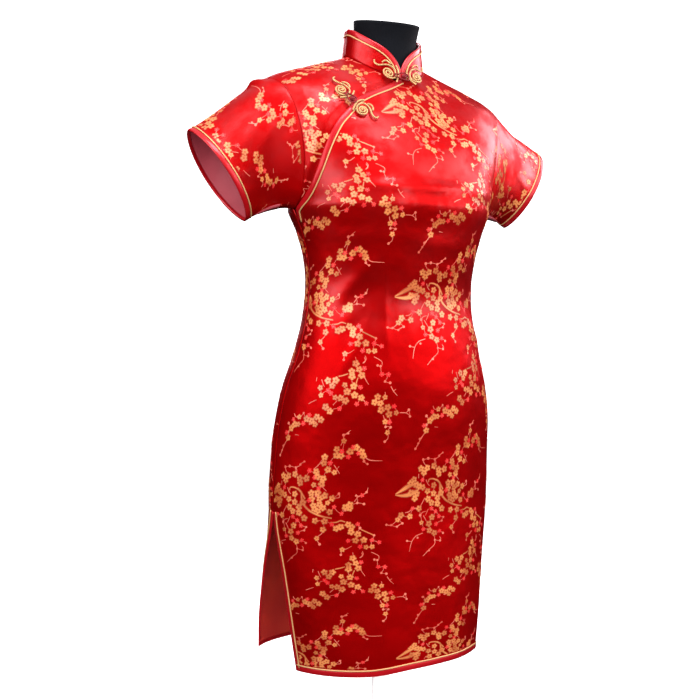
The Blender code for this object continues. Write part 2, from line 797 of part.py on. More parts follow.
def collar_seat(collar, right, up, out):
    """A point over the collar's foot, in metres along it, above it and out from it."""
    distance, height = right % collar.length, up + COLLAR_FROG_RISE
    foot = collar.point(distance, 0)
    outward = (foot - collar.point(distance, 0, -1)).normalized()
    run = CHEST_SLOPE * (math.hypot(height, COLLAR_FROG_BRIDGE) - height) / 2
    lean = COLLAR_LEAN * max(height, 0)
    return foot + outward * (TRIM_TOP + out + run - lean) + Vector((0, 0, height))


def chest_seat(right, up, out):
    """A point over the flap's edge, in metres along the frog, across it and out from the cloth."""
    start, end = on_body(FRONT, *CHEST_FROG_RIGHT), on_body(FRONT, *CHEST_FROG_LEFT)
    middle = (start + end) / 2
    level = solve(
        lambda level: body_point(FRONT, across_at(FRONT, middle.x, level), level).z - middle.z,
        0,
        SEAM_LEVEL,
    )
    normal = body_normal(FRONT, across_at(FRONT, middle.x, level), level)
    along = (end - start).normalized()
    aside = normal.cross(along).normalized()
    flat = middle + along * right + aside * up
    return on_body(FRONT, flat.x, flat.z - HEM_HEIGHT, TRIM_TOP + out)


def make_frog(name, seat):
    lift = SEAM_GAP + CORD_RADIUS
    for half, side in (("right", 1), ("left", -1)):
        for part, path in (("rose", rose()), ("leaf", LEAF), ("petal", PETAL)):
            points = [
                seat(side * (spot.right / 1000 - FROG_REACH), spot.up / 1000, lift) for spot in path
            ]
            cord(f"{name}_{part}_{half}", points, CORD_RADIUS, "gold_cord")
    ring_lift = 2 * SEAM_GAP + KNOT_RADIUS
    ring = [seat(spot.right / 1000, spot.up / 1000, ring_lift) for spot in LOOP]
    cord(name + "_loop", ring, LOOP_RADIUS, "satin_binding")
    mesh = bpy.data.meshes.new(name + "_knot")
    ball = bmesh.new()
    bmesh.ops.create_uvsphere(ball, u_segments=10, v_segments=6, radius=KNOT_RADIUS)
    ball.to_mesh(mesh)
    ball.free()
    add_object(name + "_knot", mesh, "satin_binding").location = seat(0, 0, ring_lift)


# --- dress form and stand ------------------------------------------------------------------------
FORM_COLUMNS = 16
FORM_TOP_LEVEL = 1.93


def make_form():
    """The torso inside the dress, with flat armholes and a closed bottom, and its neck."""
    rising = spread(FORM_BOTTOM / UNDERARM, 1, 7)[:-1] + spread(1, FORM_TOP_LEVEL, 6)
    levels = [(FRONT, level) for level in rising] + [(BACK, level) for level in rising[::-1]]
    acrosses = spread(-1, 1, FORM_COLUMNS)

    def place(column, row):
        face, level = levels[row]
        across = acrosses[column] * (1 - SIDE_TURN)
        point = body_point(face, across, level, -FORM_CLEARANCE)
        if level <= 1 and abs(acrosses[column]) == 1:
            section = read(BODY, UNDERARM * level)
            half_width = section.half_width - FORM_CLEARANCE
            point = Vector((acrosses[column] * half_width, section.side, 0))
        if level <= 1:
            point.z = HEM_HEIGHT + UNDERARM * level
        return point

    sheet = Sheet(FORM_COLUMNS, len(levels) - 1, place)
    shape = bmesh.new()
    shape.from_mesh(sheet.mesh)
    bmesh.ops.remove_doubles(shape, verts=shape.verts, dist=1e-5)
    open_edges = [edge for edge in shape.edges if edge.is_boundary]
    bmesh.ops.holes_fill(shape, edges=open_edges)
    bmesh.ops.recalc_face_normals(shape, faces=shape.faces)
    mesh = bpy.data.meshes.new("form")
    shape.to_mesh(mesh)
    shape.free()
    torso = add_object("form", mesh, "form_cloth")
    neck = add_object("form_neck", neck_mesh(), "form_cloth", helper=True)
    join = torso.modifiers.new("neck", "BOOLEAN")
    join.operation = "UNION"
    join.object = neck


def neck_mesh():
    sides = 24
    heights = spread(NECK_RINGS[0].height, NECK_RINGS[-1].height, 6)
    shape = bmesh.new()
    bmesh.ops.create_grid(shape, x_segments=sides, y_segments=len(heights) - 1, size=1)
    shape.verts.ensure_lookup_table()
    for vertex in shape.verts:
        turn = vertex.index % (sides + 1) % sides / sides * 2 * math.pi
        row = vertex.index // (sides + 1)
        here = read(NECK_RINGS, heights[row])
        tilt = math.tan(NECK_TOP_TILT) * (row / (len(heights) - 1)) ** 2
        y = here.radius * math.sin(turn)
        lift = HEM_HEIGHT + here.height + y * tilt
        vertex.co = (here.radius * math.cos(turn), here.middle_y + y, lift)
    bmesh.ops.remove_doubles(shape, verts=shape.verts, dist=1e-5)
    bmesh.ops.holes_fill(shape, edges=[edge for edge in shape.edges if edge.is_boundary])
    bmesh.ops.recalc_face_normals(shape, faces=shape.faces)
    mesh = bpy.data.meshes.new("form_neck")
    shape.to_mesh(mesh)
    shape.free()
    return mesh


def turned(name, profile, material):
    """A solid turned about the stand's axis, from an outer profile that runs from top to bottom."""
    mesh = bpy.data.meshes.new(name)
    mesh.from_pydata([(x, 0, z) for x, z in profile], [(i, i + 1) for i in range(len(profile) - 1)], [])
    obj = add_object(name, mesh, material)
    screw = obj.modifiers.new("turn", "SCREW")
    screw.steps = screw.render_steps = 32
    screw.use_merge_vertices = True
    screw.merge_threshold = 1e-5
    return obj


def make_stand():
    edge = 0.003
    turned(
        "base",
        [
            (0, BASE_THICKNESS),
            (BASE_RADIUS - edge, BASE_THICKNESS),
            (BASE_RADIUS, BASE_THICKNESS - edge),
            (BASE_RADIUS, 0),
            (0, 0),
        ],
        "stand_paint",
    )
    foot, top = BASE_THICKNESS + SEAM_GAP, HEM_HEIGHT + FORM_BOTTOM - SEAM_GAP
    flange, flange_top = 0.026, foot + 0.010
    turned(
        "pole",
        [
            (0, top),
            (POLE_RADIUS, top),
            (POLE_RADIUS, flange_top + 0.004),
            (flange, flange_top),
            (flange, foot),
            (0, foot),
        ],
        "stand_paint",
    )


clear_scene()
dress = bpy.data.collections.new("cheongsam_on_dress_form")
cutters = bpy.data.collections.new("cutters")
bpy.context.scene.collection.children.link(dress)
bpy.context.scene.collection.children.link(cutters)
materials = make_materials()
make_front()
make_back()
make_yoke()
for name, cuff in CUFFS.items():
    make_sleeve(name, cuff)
collar = make_collar()
make_frog("collar_frog", lambda right, up, out: collar_seat(collar, right, up, out))
make_frog("chest_frog", chest_seat)
make_form()
make_stand()
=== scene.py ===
import math
import random

import bmesh
import bpy
import numpy as np
from mathutils import Euler, Matrix, Vector
from mathutils.kdtree import KDTree


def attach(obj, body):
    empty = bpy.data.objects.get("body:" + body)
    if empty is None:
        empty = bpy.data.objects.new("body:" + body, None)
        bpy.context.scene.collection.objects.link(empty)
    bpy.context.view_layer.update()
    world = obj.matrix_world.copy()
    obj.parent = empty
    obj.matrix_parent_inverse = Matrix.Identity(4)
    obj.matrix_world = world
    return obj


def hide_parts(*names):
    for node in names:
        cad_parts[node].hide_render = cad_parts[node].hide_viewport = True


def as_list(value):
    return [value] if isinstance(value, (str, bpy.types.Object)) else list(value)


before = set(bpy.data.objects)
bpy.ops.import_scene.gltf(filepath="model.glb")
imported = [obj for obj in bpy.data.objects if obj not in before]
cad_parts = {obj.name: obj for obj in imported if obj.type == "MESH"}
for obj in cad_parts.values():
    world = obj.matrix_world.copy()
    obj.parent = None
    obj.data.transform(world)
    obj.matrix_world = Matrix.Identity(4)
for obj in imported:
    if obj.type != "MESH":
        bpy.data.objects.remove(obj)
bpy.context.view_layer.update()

# A short cheongsam on a limbless dress form. The wearer faces -Y, so the wearer's right is at -X.
# The cloth panels lie on the same surfaces as the solids, from the same tables, with finer grids.

# sizes in metres, heights above the front hem
hemHeight = 0.160
slitTop = 0.216
underarm = 0.632
shoulderY = -0.006
shoulderTilt = 0.050
clothThickness = 0.0012
seamGap = 0.0003
neckHalfWidth = 0.0595
neckFrontY, neckBackY = -0.0620, 0.0500
sideTurn = 0.002  # the panels stop this turn short of the side seams
seamLevel = 1.9968  # and at this level, just short of the shoulder seams
front, back = -1, 1  # the two faces, as signs of Y


class Table:  # smooth lines through the rows of a small table, looked up by its first column
    def __init__(self, *rows):
        rows = np.array(rows, float)
        keys, values = rows[:, 0], rows[:, 1:]
        low = np.maximum(np.arange(len(keys)) - 1, 0)
        high = np.minimum(np.arange(len(keys)) + 1, len(keys) - 1)
        slopes = (values[high] - values[low]) / (keys[high] - keys[low])[:, None]
        self.at = np.linspace(keys[0], keys[-1], 2001)
        i = np.clip(np.searchsorted(keys, self.at, "right") - 1, 0, len(keys) - 2)
        step = (keys[i + 1] - keys[i])[:, None]
        t = (self.at - keys[i])[:, None] / step
        self.values = (
            values[i] * (1 + 2 * t) * (1 - t) ** 2
            + slopes[i] * step * t * (1 - t) ** 2
            + values[i + 1] * t * t * (3 - 2 * t)
            + slopes[i + 1] * step * t * t * (t - 1)
        )

    def __call__(self, where):
        return [np.interp(where, self.at, column) for column in self.values.T]


# height: half width, and the depths of the front, the side seam and the back
bodyTable = Table(
    (0.000, 0.150, -0.116, 0.000, 0.110),
    (0.110, 0.154, -0.114, 0.003, 0.114),
    (0.216, 0.1655, -0.112, 0.004, 0.118),
    (0.300, 0.164, -0.118, -0.003, 0.115),
    (0.345, 0.161, -0.123, -0.010, 0.106),
    (0.390, 0.153, -0.123, -0.016, 0.096),
    (0.445, 0.137, -0.119, -0.024, 0.079),
    (0.510, 0.125, -0.113, -0.025, 0.065),
    (0.560, 0.127, -0.125, -0.028, 0.066),
    (0.600, 0.136, -0.134, -0.028, 0.077),
    (0.632, 0.149, -0.143, -0.026, 0.086),
)
# rise up the armhole: distance from the middle, and reach from the side towards the front or back
armholeTable = Table(
    (0.00, 0.149, 0.00), (0.06, 0.149, 0.19), (0.14, 0.150, 0.31), (0.26, 0.153, 0.40),
    (0.42, 0.159, 0.45), (0.60, 0.167, 0.47), (0.80, 0.178, 0.46), (1.00, 0.188, 0.45),
)
# distance from the middle: height of the shoulder line
shoulderTable = Table(
    (0.000, 0.868), (0.030, 0.864), (0.060, 0.851), (0.120, 0.829), (0.165, 0.812), (0.190, 0.799)
)
# how full the chest and back are below the shoulders, at the middle and from fullnessOut outwards
shoulderFullness = {front: (1.40, 2.05), back: (4.2, 2.5)}
fullnessOut = 0.15
# across, from -1 at the wearer's right side to 0 at the centre front: height of the flap's edge
flapCorner = -0.412
flapToNeck = Table((-0.412, 0.780), (-0.300, 0.791), (-0.140, 0.805), (0.000, 0.819))
flapToSide = Table(
    (-1.000, 0.616), (-0.930, 0.648), (-0.860, 0.680), (-0.782, 0.710), (-0.657, 0.741),
    (-0.520, 0.763), (-0.412, 0.780),
)
hemTable = Table((-1, 0.000), (-0.4, 0.000), (0, 0.008), (0.6, 0.013), (1, 0.004))
# height: the slit edges' distances from the middle and turns, front and back, and the back hem's rise
slitTable = Table(
    (0.000, 0.1410, 0.165, 0.1700, 0.420, 0.024),
    (0.060, 0.1490, 0.140, 0.1710, 0.350, 0.014),
    (0.130, 0.1565, 0.085, 0.1700, 0.200, 0.005),
    (0.190, 0.1635, 0.022, 0.1670, 0.045, 0.000),
    (0.216, 0.1655, 0.002, 0.1655, 0.002, 0.000),
)
# face, x, height, slope in degrees, half length, half width and depth of each fold and swelling
folds = [
    (front, -0.070, 0.630, 0, 0.050, 0.045, 0.0060),
    (front, 0.070, 0.630, 0, 0.050, 0.045, 0.0060),
    (front, -0.055, 0.590, -4, 0.070, 0.008, 0.0022),
    (front, 0.060, 0.585, 6, 0.065, 0.008, 0.0020),
    (front, -0.098, 0.520, 52, 0.055, 0.010, 0.0034),
    (front, 0.102, 0.528, -56, 0.050, 0.010, 0.0026),
    (front, -0.112, 0.470, 38, 0.040, 0.009, 0.0024),
    (front, 0.110, 0.462, -40, 0.042, 0.009, 0.0020),
    (front, 0.015, 0.400, 0, 0.075, 0.040, 0.0040),
    (front, 0.020, 0.657, 0, 0.095, 0.0075, 0.0040),
    (front, -0.050, 0.500, 90, 0.075, 0.006, 0.0012),
    (front, -0.084, 0.455, 62, 0.055, 0.008, 0.0020),
    (front, 0.085, 0.415, -50, 0.050, 0.010, 0.0018),
    (back, -0.060, 0.520, 8, 0.060, 0.010, 0.0030),
    (back, 0.055, 0.500, -6, 0.065, 0.010, 0.0028),
    (back, -0.090, 0.470, 40, 0.045, 0.010, 0.0022),
    (back, 0.092, 0.478, -42, 0.045, 0.010, 0.0022),
    (front, -0.060, 0.060, 88, 0.110, 0.028, 0.0030),
    (front, 0.066, 0.050, 94, 0.100, 0.026, 0.0032),
    (back, -0.070, 0.060, 90, 0.100, 0.030, 0.0036),
    (back, 0.058, 0.055, 90, 0.110, 0.028, 0.0032),
]


def unit(vectors):
    return vectors / np.maximum(np.linalg.norm(vectors, axis=-1, keepdims=True), 1e-12)


def runOf(line):  # how far along a line of points each of them lies
    return np.concatenate([[0], np.cumsum(np.linalg.norm(np.diff(line, axis=0), axis=-1))])


def numbers(*values):  # as arrays of one shape
    return np.broadcast_arrays(*(np.asarray(value, float) for value in values))


def bulge(along, aside, halfLength, halfWidth, depth):
    return depth * np.exp(-((along / halfLength) ** 2) - (aside / halfWidth) ** 2)


# the body's surface, from its face, across (-1 to 1) and level (0 hem, 1 underarm, 2 shoulder)
def swelling(face, x, height):
    total = 0
    for side, foldX, foldHeight, slope, halfLength, halfWidth, depth in folds:
        if side == face:
            turn, right, up = math.radians(slope), x - foldX, height - foldHeight
            along = right * math.cos(turn) + up * math.sin(turn)
            aside = up * math.cos(turn) - right * math.sin(turn)
            total = total + bulge(along, aside, halfLength, halfWidth, depth)
    return total


def ringAt(face, level):
    height = underarm * np.minimum(level, 1)
    halfWidth, frontDepth, side, backDepth = bodyTable(height)
    frontX, frontTurn, backX, backTurn, backRise = slitTable(height)
    slitX, slitTurn, depth = frontX, frontTurn, frontDepth
    if face == back:
        slitX, slitTurn, depth = backX, backTurn, backDepth
    below = height < slitTop
    armX, reach = armholeTable(level - 1)
    edgeX = np.where(level > 1, armX, np.where(below, slitX, halfWidth))
    span = math.pi / 2 - np.where(below, slitTurn, sideTurn)
    span = np.where(level > 1, np.arccos(reach) - sideTurn * (2 - level), span)
    return edgeX, span, side, depth, backRise


def bodyPoint(face, across, level, out=0.0):
    across, level = numbers(across, level)
    if np.any(out):
        return bodyPoint(face, across, level) + bodyNormal(face, across, level) * np.asarray(out)[..., None]
    edgeX, span, side, depth, backRise = ringAt(face, level)
    x = edgeX / np.sin(span) * np.sin(across * span)
    height = underarm * level
    rise = backRise if face == back else hemTable(across)[0] * (1 - height / slitTop) ** 2
    height = height + np.where(height < slitTop, rise, 0)
    middle, armhole = shoulderFullness[face]
    power = middle + (armhole - middle) * np.minimum(np.abs(x) / fullnessOut, 1) ** 2
    turn = np.clip(level - 1, 0, 1) * math.pi / 2
    away, up = np.maximum(np.cos(turn), 0), np.sin(turn)
    size = (away**power + up**power) ** (-1 / power)
    away, up = np.where(level > 1, away * size, 1), up * size
    shoulder = shoulderTable(np.abs(x))[0] - shoulderTilt * x
    height = np.where(level > 1, underarm + (shoulder - underarm) * up, height)
    side, depth = shoulderY + (side - shoulderY) * away, shoulderY + (depth - shoulderY) * away
    y = side + (depth - side) * np.cos(across * span) + face * swelling(face, x, height)
    return np.stack([x, y, hemHeight + height], axis=-1)


def bodyNormal(face, across, level):
    step = 0.004
    up = bodyPoint(face, across, np.minimum(level + step, 1.999))
    up = up - bodyPoint(face, across, np.maximum(level - step, 0))
    side = bodyPoint(face, np.minimum(across + step, 1), level)
    side = side - bodyPoint(face, np.maximum(across - step, -1), level)
    return unit(np.cross(side, up)) * -face


def acrossAt(face, x, level):
    edgeX, span = ringAt(face, level)[:2]
    return np.arcsin(np.clip(x / edgeX * np.sin(span), -1, 1)) / span


def solve(gap, low, high):  # where gap changes sign, or the end that it is nearer to
    low, high = numbers(low, high)
    atLow, atHigh = gap(low), gap(high)
    nearer = np.where(np.abs(atLow) < np.abs(atHigh), low, high)
    same, rising = atLow * atHigh > 0, atHigh > 0
    halvings = 34
    for _ in range(halvings):
        middle = (low + high) / 2
        over = (gap(middle) > 0) == rising
        high, low = np.where(over, middle, high), np.where(over, low, middle)
    return np.where(same, nearer, (low + high) / 2)


def neckLevel(face, across):
    across = np.asarray(across, float)
    middleY, halfDepth = (neckFrontY + neckBackY) / 2, (neckBackY - neckFrontY) / 2

    def outside(level):
        point = bodyPoint(face, across, level)
        return np.hypot(point[..., 0] / neckHalfWidth, (point[..., 1] - middleY) / halfDepth) - 1

    lowest = 1.2
    return np.where(outside(seamLevel) > -0.001, seamLevel, solve(outside, lowest, seamLevel))


def flapLevel(across):
    across, lowest = np.asarray(across, float), 0.85
    height = np.where(across > flapCorner, flapToNeck(across)[0], flapToSide(across)[0])
    above = lambda level: bodyPoint(front, across, level)[..., 2] - hemHeight - height
    return np.minimum(solve(above, lowest, seamLevel), neckLevel(front, across))


def frontTop(across):
    return np.where(across < 0, flapLevel(across), neckLevel(front, across))


flapShares = np.linspace(-1, 0, 121)
flapEdge = bodyPoint(front, flapShares, flapLevel(flapShares))


def fromFlap(points):  # distance of each point from the flap's edge
    start, along = flapEdge[:-1], flapEdge[1:] - flapEdge[:-1]
    offset = points[..., None, :] - start
    share = np.clip((offset * along).sum(-1) / (along * along).sum(-1), 0, 1)
    return np.linalg.norm(offset - along * share[..., None], axis=-1).min(-1)


# the yoke runs on under the flap by its lap, and lies lower there by its drop, which fades out beyond
yoke = {"lap": 0.012, "drop": 0.0034, "fade": 0.014}


def yokePoint(across, level, out=0.0):
    across, level = numbers(across, level)
    beyond = np.minimum(fromFlap(bodyPoint(front, across, level)) / yoke["fade"], 1)
    drop = yoke["drop"] * np.where(level < flapLevel(across), 1, 1 - beyond**2 * (3 - 2 * beyond))
    return bodyPoint(front, across, level, out - drop)


# side, top and bottom of each cuff's long axis
cuffs = {
    "right": (-1, (-0.2845, 0.020, 0.736), (-0.2080, 0.004, 0.6155)),
    "left": (1, (0.2885, 0.020, 0.745), (0.2165, 0.004, 0.6275)),
}
# half the cuffs' depth and how pointed they are; how the cloth leaves the armhole: its middle slope in
# degrees, how much that swings up under the arm and down at the top, and the share of the armhole's
# own outward direction in it; then over which shares from the seam and the cuff the folds come in
sleeveShape = {
    "halfDepth": 0.043, "pointed": 1.3, "slope": -17, "swing": 31, "outward": 0.45, "foldsFrom": 0.15,
    "foldsTo": 0.12,
}
# turn, share, half turn, half share and depth of each fold, on both sleeves or one
sleeveFolds = {
    "both": [
        (0.22, 0.62, 0.020, 0.50, 0.0016), (0.31, 0.50, 0.024, 0.45, -0.0012),
        (0.40, 0.25, 0.050, 0.14, 0.0012), (0.60, 0.28, 0.050, 0.15, 0.0012),
        (0.70, 0.50, 0.026, 0.42, 0.0015), (0.80, 0.65, 0.020, 0.45, -0.0012),
        (0.10, 0.35, 0.030, 0.20, 0.0013), (0.90, 0.38, 0.030, 0.22, 0.0012),
    ],
    "right": [(0.46, 0.30, 0.10, 0.24, 0.0020), (0.50, 0.08, 0.09, 0.09, 0.0095)],
    "left": [(0.46, 0.30, 0.10, 0.24, -0.0042)],
}


# sleeves, from turn (0 underarm, 0.5 shoulder, 1 underarm again by the back) and share (0 seam, 1 cuff)
def armholePoint(side, turn):  # and the way out of the armhole there
    edges = []
    for inner in (side, side * 0.97):
        up, down = bodyPoint(front, inner, 1 + 2 * turn), bodyPoint(back, inner, 3 - 2 * turn)
        edges.append(np.where((turn < 0.5)[..., None], up, down))
    return edges[0], unit(edges[0] - edges[1])


def cuffPoint(name, turn):
    top, bottom = (np.array(end) + (0, 0, hemHeight) for end in cuffs[name][1:])
    aside = np.sin(turn * 2 * math.pi)
    depth = -np.sign(aside) * np.abs(aside) ** sleeveShape["pointed"] * sleeveShape["halfDepth"]
    point = (top + bottom) / 2 + (bottom - top) * (np.cos(turn * 2 * math.pi) / 2)[..., None]
    return point + np.stack([depth * 0, depth, depth * 0], axis=-1)


def sleevePoint(name, turn, share, out=0.0):
    turn, share = numbers(turn, share)
    if np.any(out):
        return sleevePoint(name, turn, share) + sleeveNormal(name, turn, share) * np.asarray(out)[..., None]
    side, sizes = cuffs[name][0], sleeveShape
    edge, outward = armholePoint(side, turn)
    end = cuffPoint(name, turn)
    slope = np.radians(sizes["slope"] + sizes["swing"] * np.cos(turn * 2 * math.pi))
    fall = np.stack([side * np.cos(slope), slope * 0, np.sin(slope)], axis=-1)
    leave = unit(outward * sizes["outward"] + fall * (1 - sizes["outward"]))
    crease = np.linalg.norm(np.cross(outward, leave), axis=-1)
    start = edge + outward * 2 * seamGap + leave * (seamGap + clothThickness * crease)[..., None]
    topAndBottom = np.array([0.0, 0.5])
    ends = cuffPoint(name, topAndBottom)
    arrive = unit(np.cross(ends[1] - ends[0], (0, -side, 0)))
    reach = np.linalg.norm(end - start, axis=-1)[..., None]
    t = share[..., None]
    point = (
        start * (2 * t**3 - 3 * t**2 + 1)
        + leave * reach * (t**3 - 2 * t**2 + t)
        + end * (3 * t**2 - 2 * t**3)
        + arrive * reach * (t**3 - t**2)
    )
    puff = 0
    for foldTurn, foldShare, halfTurn, halfShare, depth in sleeveFolds["both"] + sleeveFolds[name]:
        puff = puff + bulge(turn - foldTurn, share - foldShare, halfTurn, halfShare, depth)
    puff = puff * np.clip(share / sizes["foldsFrom"], 0, 1) * np.clip((1 - share) / sizes["foldsTo"], 0, 1)
    axis = ends.mean(0) * t + armholePoint(side, topAndBottom)[0].mean(0) * (1 - t)
    return point + unit(point - axis) * puff[..., None]


def sleeveNormal(name, turn, share):
    step = 0.004
    along = sleevePoint(name, turn, np.minimum(share + step, 1))
    along = along - sleevePoint(name, turn, np.maximum(share - step, 0))
    around = sleevePoint(name, (turn + step) % 1, share) - sleevePoint(name, (turn - step) % 1, share)
    return unit(np.cross(around, along)) * -cuffs[name][0]


# the surfaces as places of two numbers and a height above the cloth
def onBody(face):
    return lambda across, level, out=0.0: bodyPoint(face, across, level, out)


def onSleeve(name):
    return lambda turn, share, out=0.0: sleevePoint(name, turn % 1.0, share, out)


bodyFront, bodyBack = onBody(front), onBody(back)


def cellsOf(table, row, column):  # a table's values at places between its cells
    r, c = row.astype(int), column.astype(int)
    down, along = row - r, column - c
    first = table[r, c] * (1 - along) + table[r, c + 1] * along
    second = table[r + 1, c] * (1 - along) + table[r + 1, c + 1] * along
    return first * (1 - down) + second * down


class FlatCloth:  # where a point of the flat cloth lies on a surface: right from the middle line, and up
    def __init__(self, place, middle, low, high, top, count=360):
        self.ups = np.linspace(0, top, count)
        self.offsets = np.linspace(low, high, 301)
        rows = [runOf(row) for row in place(self.offsets[None, :], self.ups[:, None])]
        self.rise = runOf(place(np.full(count, middle), self.ups))
        self.rights = np.array([row - np.interp(middle, self.offsets, row) for row in rows])
        self.reach = np.abs(self.rights).max()
        self.even = np.linspace(-self.reach, self.reach, 401)
        self.lookup = np.array([np.interp(self.even, row, self.offsets) for row in self.rights])
        self.inside = np.array([(self.even > row[0]) & (self.even < row[-1]) for row in self.rights])

    def placeOf(self, right, up):  # the surface's own two numbers, and whether they are on it
        row = np.interp(up, self.rise, np.arange(len(self.rise)))
        row = np.clip(row, 0, len(self.rise) - 1.001)
        column = (right + self.reach) / (2 * self.reach) * (len(self.even) - 1)
        column = np.clip(column, 0, len(self.even) - 1.001)
        r, c = row.astype(int), column.astype(int)
        inside = self.inside[r, c] & self.inside[r + 1, c + 1] & (up > 0) & (up < self.rise[-1])
        level = np.interp(row, np.arange(len(self.ups)), self.ups)
        return cellsOf(self.lookup, row, column), level, inside & (np.abs(right) < self.reach)

    def flatOf(self, offset, level):  # the flat cloth's numbers for a place on the surface
        row = np.interp(level, self.ups, np.arange(len(self.ups)))
        row = np.clip(row, 0, len(self.ups) - 1.001)
        column = np.interp(offset, self.offsets, np.arange(len(self.offsets)))
        column = np.clip(column, 0, len(self.offsets) - 1.001)
        return cellsOf(self.rights, row, column), np.interp(row, np.arange(len(self.rise)), self.rise)


# making meshes
def meshOf(name, shape):
    mesh = bpy.data.meshes.new(name)
    shape.to_mesh(mesh)
    shape.free()
    return mesh


def finishMesh(name, shape, materials, slotName=None, node=None, smooth=True):
    mesh = meshOf(name, shape)
    for face in mesh.polygons:
        face.use_smooth = smooth
    for material in materials:
        mesh.materials.append(material)
    piece = bpy.data.objects.new(name, mesh)
    bpy.context.scene.collection.objects.link(piece)
    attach(piece, "root")
    if node:
        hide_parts(node)
    return piece


def wall(piece, thickness, lining=False, even=True):
    solidify = piece.modifiers.new("wall", "SOLIDIFY")
    solidify.thickness, solidify.offset = thickness, -1
    solidify.use_even_offset = even
    if lining:
        solidify.material_offset = 1


def netOf(points, flats=None, wrap=False):  # a bmesh grid with its points placed, and its flat size as UV
    rows, columns = points.shape[:2]
    shape = bmesh.new()
    bmesh.ops.create_grid(shape, x_segments=columns - 1, y_segments=rows - 1, size=1)
    for vertex, place in zip(shape.verts, points.reshape(-1, 3)):
        vertex.co = place
    if flats is not None:
        layer = shape.loops.layers.uv.new("flat")
        flat = flats.reshape(-1, 2)
        for face in shape.faces:
            for loop in face.loops:
                loop[layer].uv = flat[loop.vert.index]
    if wrap:
        bmesh.ops.remove_doubles(shape, verts=shape.verts, dist=1e-6)
    return shape


def closeUp(shape, cut=False):  # fills the open ends, in triangles if cut, and turns the faces outwards
    bmesh.ops.holes_fill(shape, edges=[edge for edge in shape.edges if edge.is_boundary])
    if cut:
        bmesh.ops.triangulate(shape, faces=[face for face in shape.faces if len(face.verts) > 4])
    bmesh.ops.recalc_face_normals(shape, faces=shape.faces)


def tubeShape(rings, closed=False):  # rings of points joined up, or round to the first if closed
    rings = np.concatenate([rings, rings[:, :1]], axis=1)
    if closed:
        rings = np.concatenate([rings, rings[:1]])
    flats = np.broadcast_arrays(runOf(rings[0])[None, :], runOf(rings.mean(1))[:, None])
    shape = netOf(rings, np.stack(flats, axis=-1), wrap=True)
    closeUp(shape)
    return shape


def tube(name, rings, material, slotName, node, closed=False):
    return finishMesh(name, tubeShape(rings, closed), [material], slotName, node)


def smoothLine(spots, perStep):  # a smooth line through the spots
    spots = np.array(spots, float)
    ends = np.concatenate([spots[:1] * 2 - spots[1:2], spots, spots[-1:] * 2 - spots[-2:-1]])
    line = []
    for before, start, end, after in zip(ends, ends[1:], ends[2:], ends[3:]):
        for t in np.arange(perStep) / perStep:
            bend = 2 * before - 5 * start + 4 * end - after
            turn = 3 * start - before - 3 * end + after
            line.append((2 * start + (end - before) * t + bend * t * t + turn * t**3) / 2)
    return np.array(line + [spots[-1]])


def turnsOf(count):
    return np.arange(count) / count * 2 * math.pi


def cordRings(line, radius, sides):  # round sections along a line of points, with rounded ends
    caps = ((1.0, 0.12), (0.87, 0.5), (0.5, 0.87))  # reach and radius of the ends' sections
    first, last = unit(line[0] - line[1]), unit(line[-1] - line[-2])
    head = [line[0] + first * radius * reach for reach, _ in caps]
    tail = [line[-1] + last * radius * reach for reach, _ in caps[::-1]]
    shares = [share for _, share in caps] + [1] * len(line) + [share for _, share in caps[::-1]]
    line = np.array(head + list(line) + tail)
    tangents = unit(np.gradient(line, axis=0))
    aside = unit(np.cross(tangents[0], (0.31, 0.17, 0.93)))
    rights, ups = np.cos(turnsOf(sides))[:, None], np.sin(turnsOf(sides))[:, None]
    rings = []
    for point, tangent, share in zip(line, tangents, shares):
        aside = unit(aside - tangent * (aside @ tangent))
        rings.append(point + radius * share * (rights * aside + ups * np.cross(tangent, aside)))
    return np.array(rings)


# shader nodes
class Wire:  # a socket, or a whole tree, that maths and other nodes are added to
    def __init__(self, tree, socket=None):
        self.tree, self.socket = tree, socket

    def node(self, kind, settings={}, values={}, output=0):
        made = self.tree.nodes.new("ShaderNode" + kind)
        for name, value in settings.items():
            setattr(made, name, value)
        for place, value in values.items():
            socket = made.inputs[place]
            if isinstance(value, Wire):
                self.tree.links.new(value.socket, socket)
            else:
                socket.default_value = (*value, 1) if socket.type == "RGBA" and len(value) == 3 else value
        return Wire(self.tree, made.outputs[output])

    def maths(self, operation, *values):
        return self.node("Math", {"operation": operation}, dict(enumerate(values)))

    def __add__(self, other):
        return self.maths("ADD", self, other)

    def __sub__(self, other):
        return self.maths("SUBTRACT", self, other)

    def __rsub__(self, other):
        return self.maths("SUBTRACT", other, self)

    def __mul__(self, other):
        return self.maths("MULTIPLY", self, other)

    __radd__, __rmul__ = __add__, __mul__

    def between(self, low, high):  # 0 at low and 1 at high, held beyond
        return self.node("MapRange", {"interpolation_type": "SMOOTHSTEP"}, {0: self, 1: low, 2: high})

    def colours(self, low, high):
        return self.node("Mix", {"data_type": "RGBA"}, {0: self, 6: low, 7: high}, 2)

    def noise(self, scale, detail, roughness=0.5, **settings):
        values = {"Vector": self, "Scale": scale, "Detail": detail, "Roughness": roughness}
        return self.node("TexNoise", settings, values)

    def bump(self, strength, distance, **values):
        return self.node("Bump", {}, {"Strength": strength, "Distance": distance, "Height": self, **values})

    def place(self):
        return self.node("TexCoord", output=3)

    def flat(self, width, length):  # the cloth's own UV, in steps of this size
        flat = self.node("UVMap", {"uv_map": "flat"})
        return self.node("Mapping", values={0: flat, 3: (1 / width, 1 / length, 1)})


def newMaterial(name, finish):
    material = bpy.data.materials.new(name)
    material.use_nodes = True
    for socket, value in finish.items():
        value = (*value, 1) if isinstance(value, tuple) else value
        material.node_tree.nodes["Principled BSDF"].inputs[socket].default_value = value
    return material, Wire(material.node_tree)


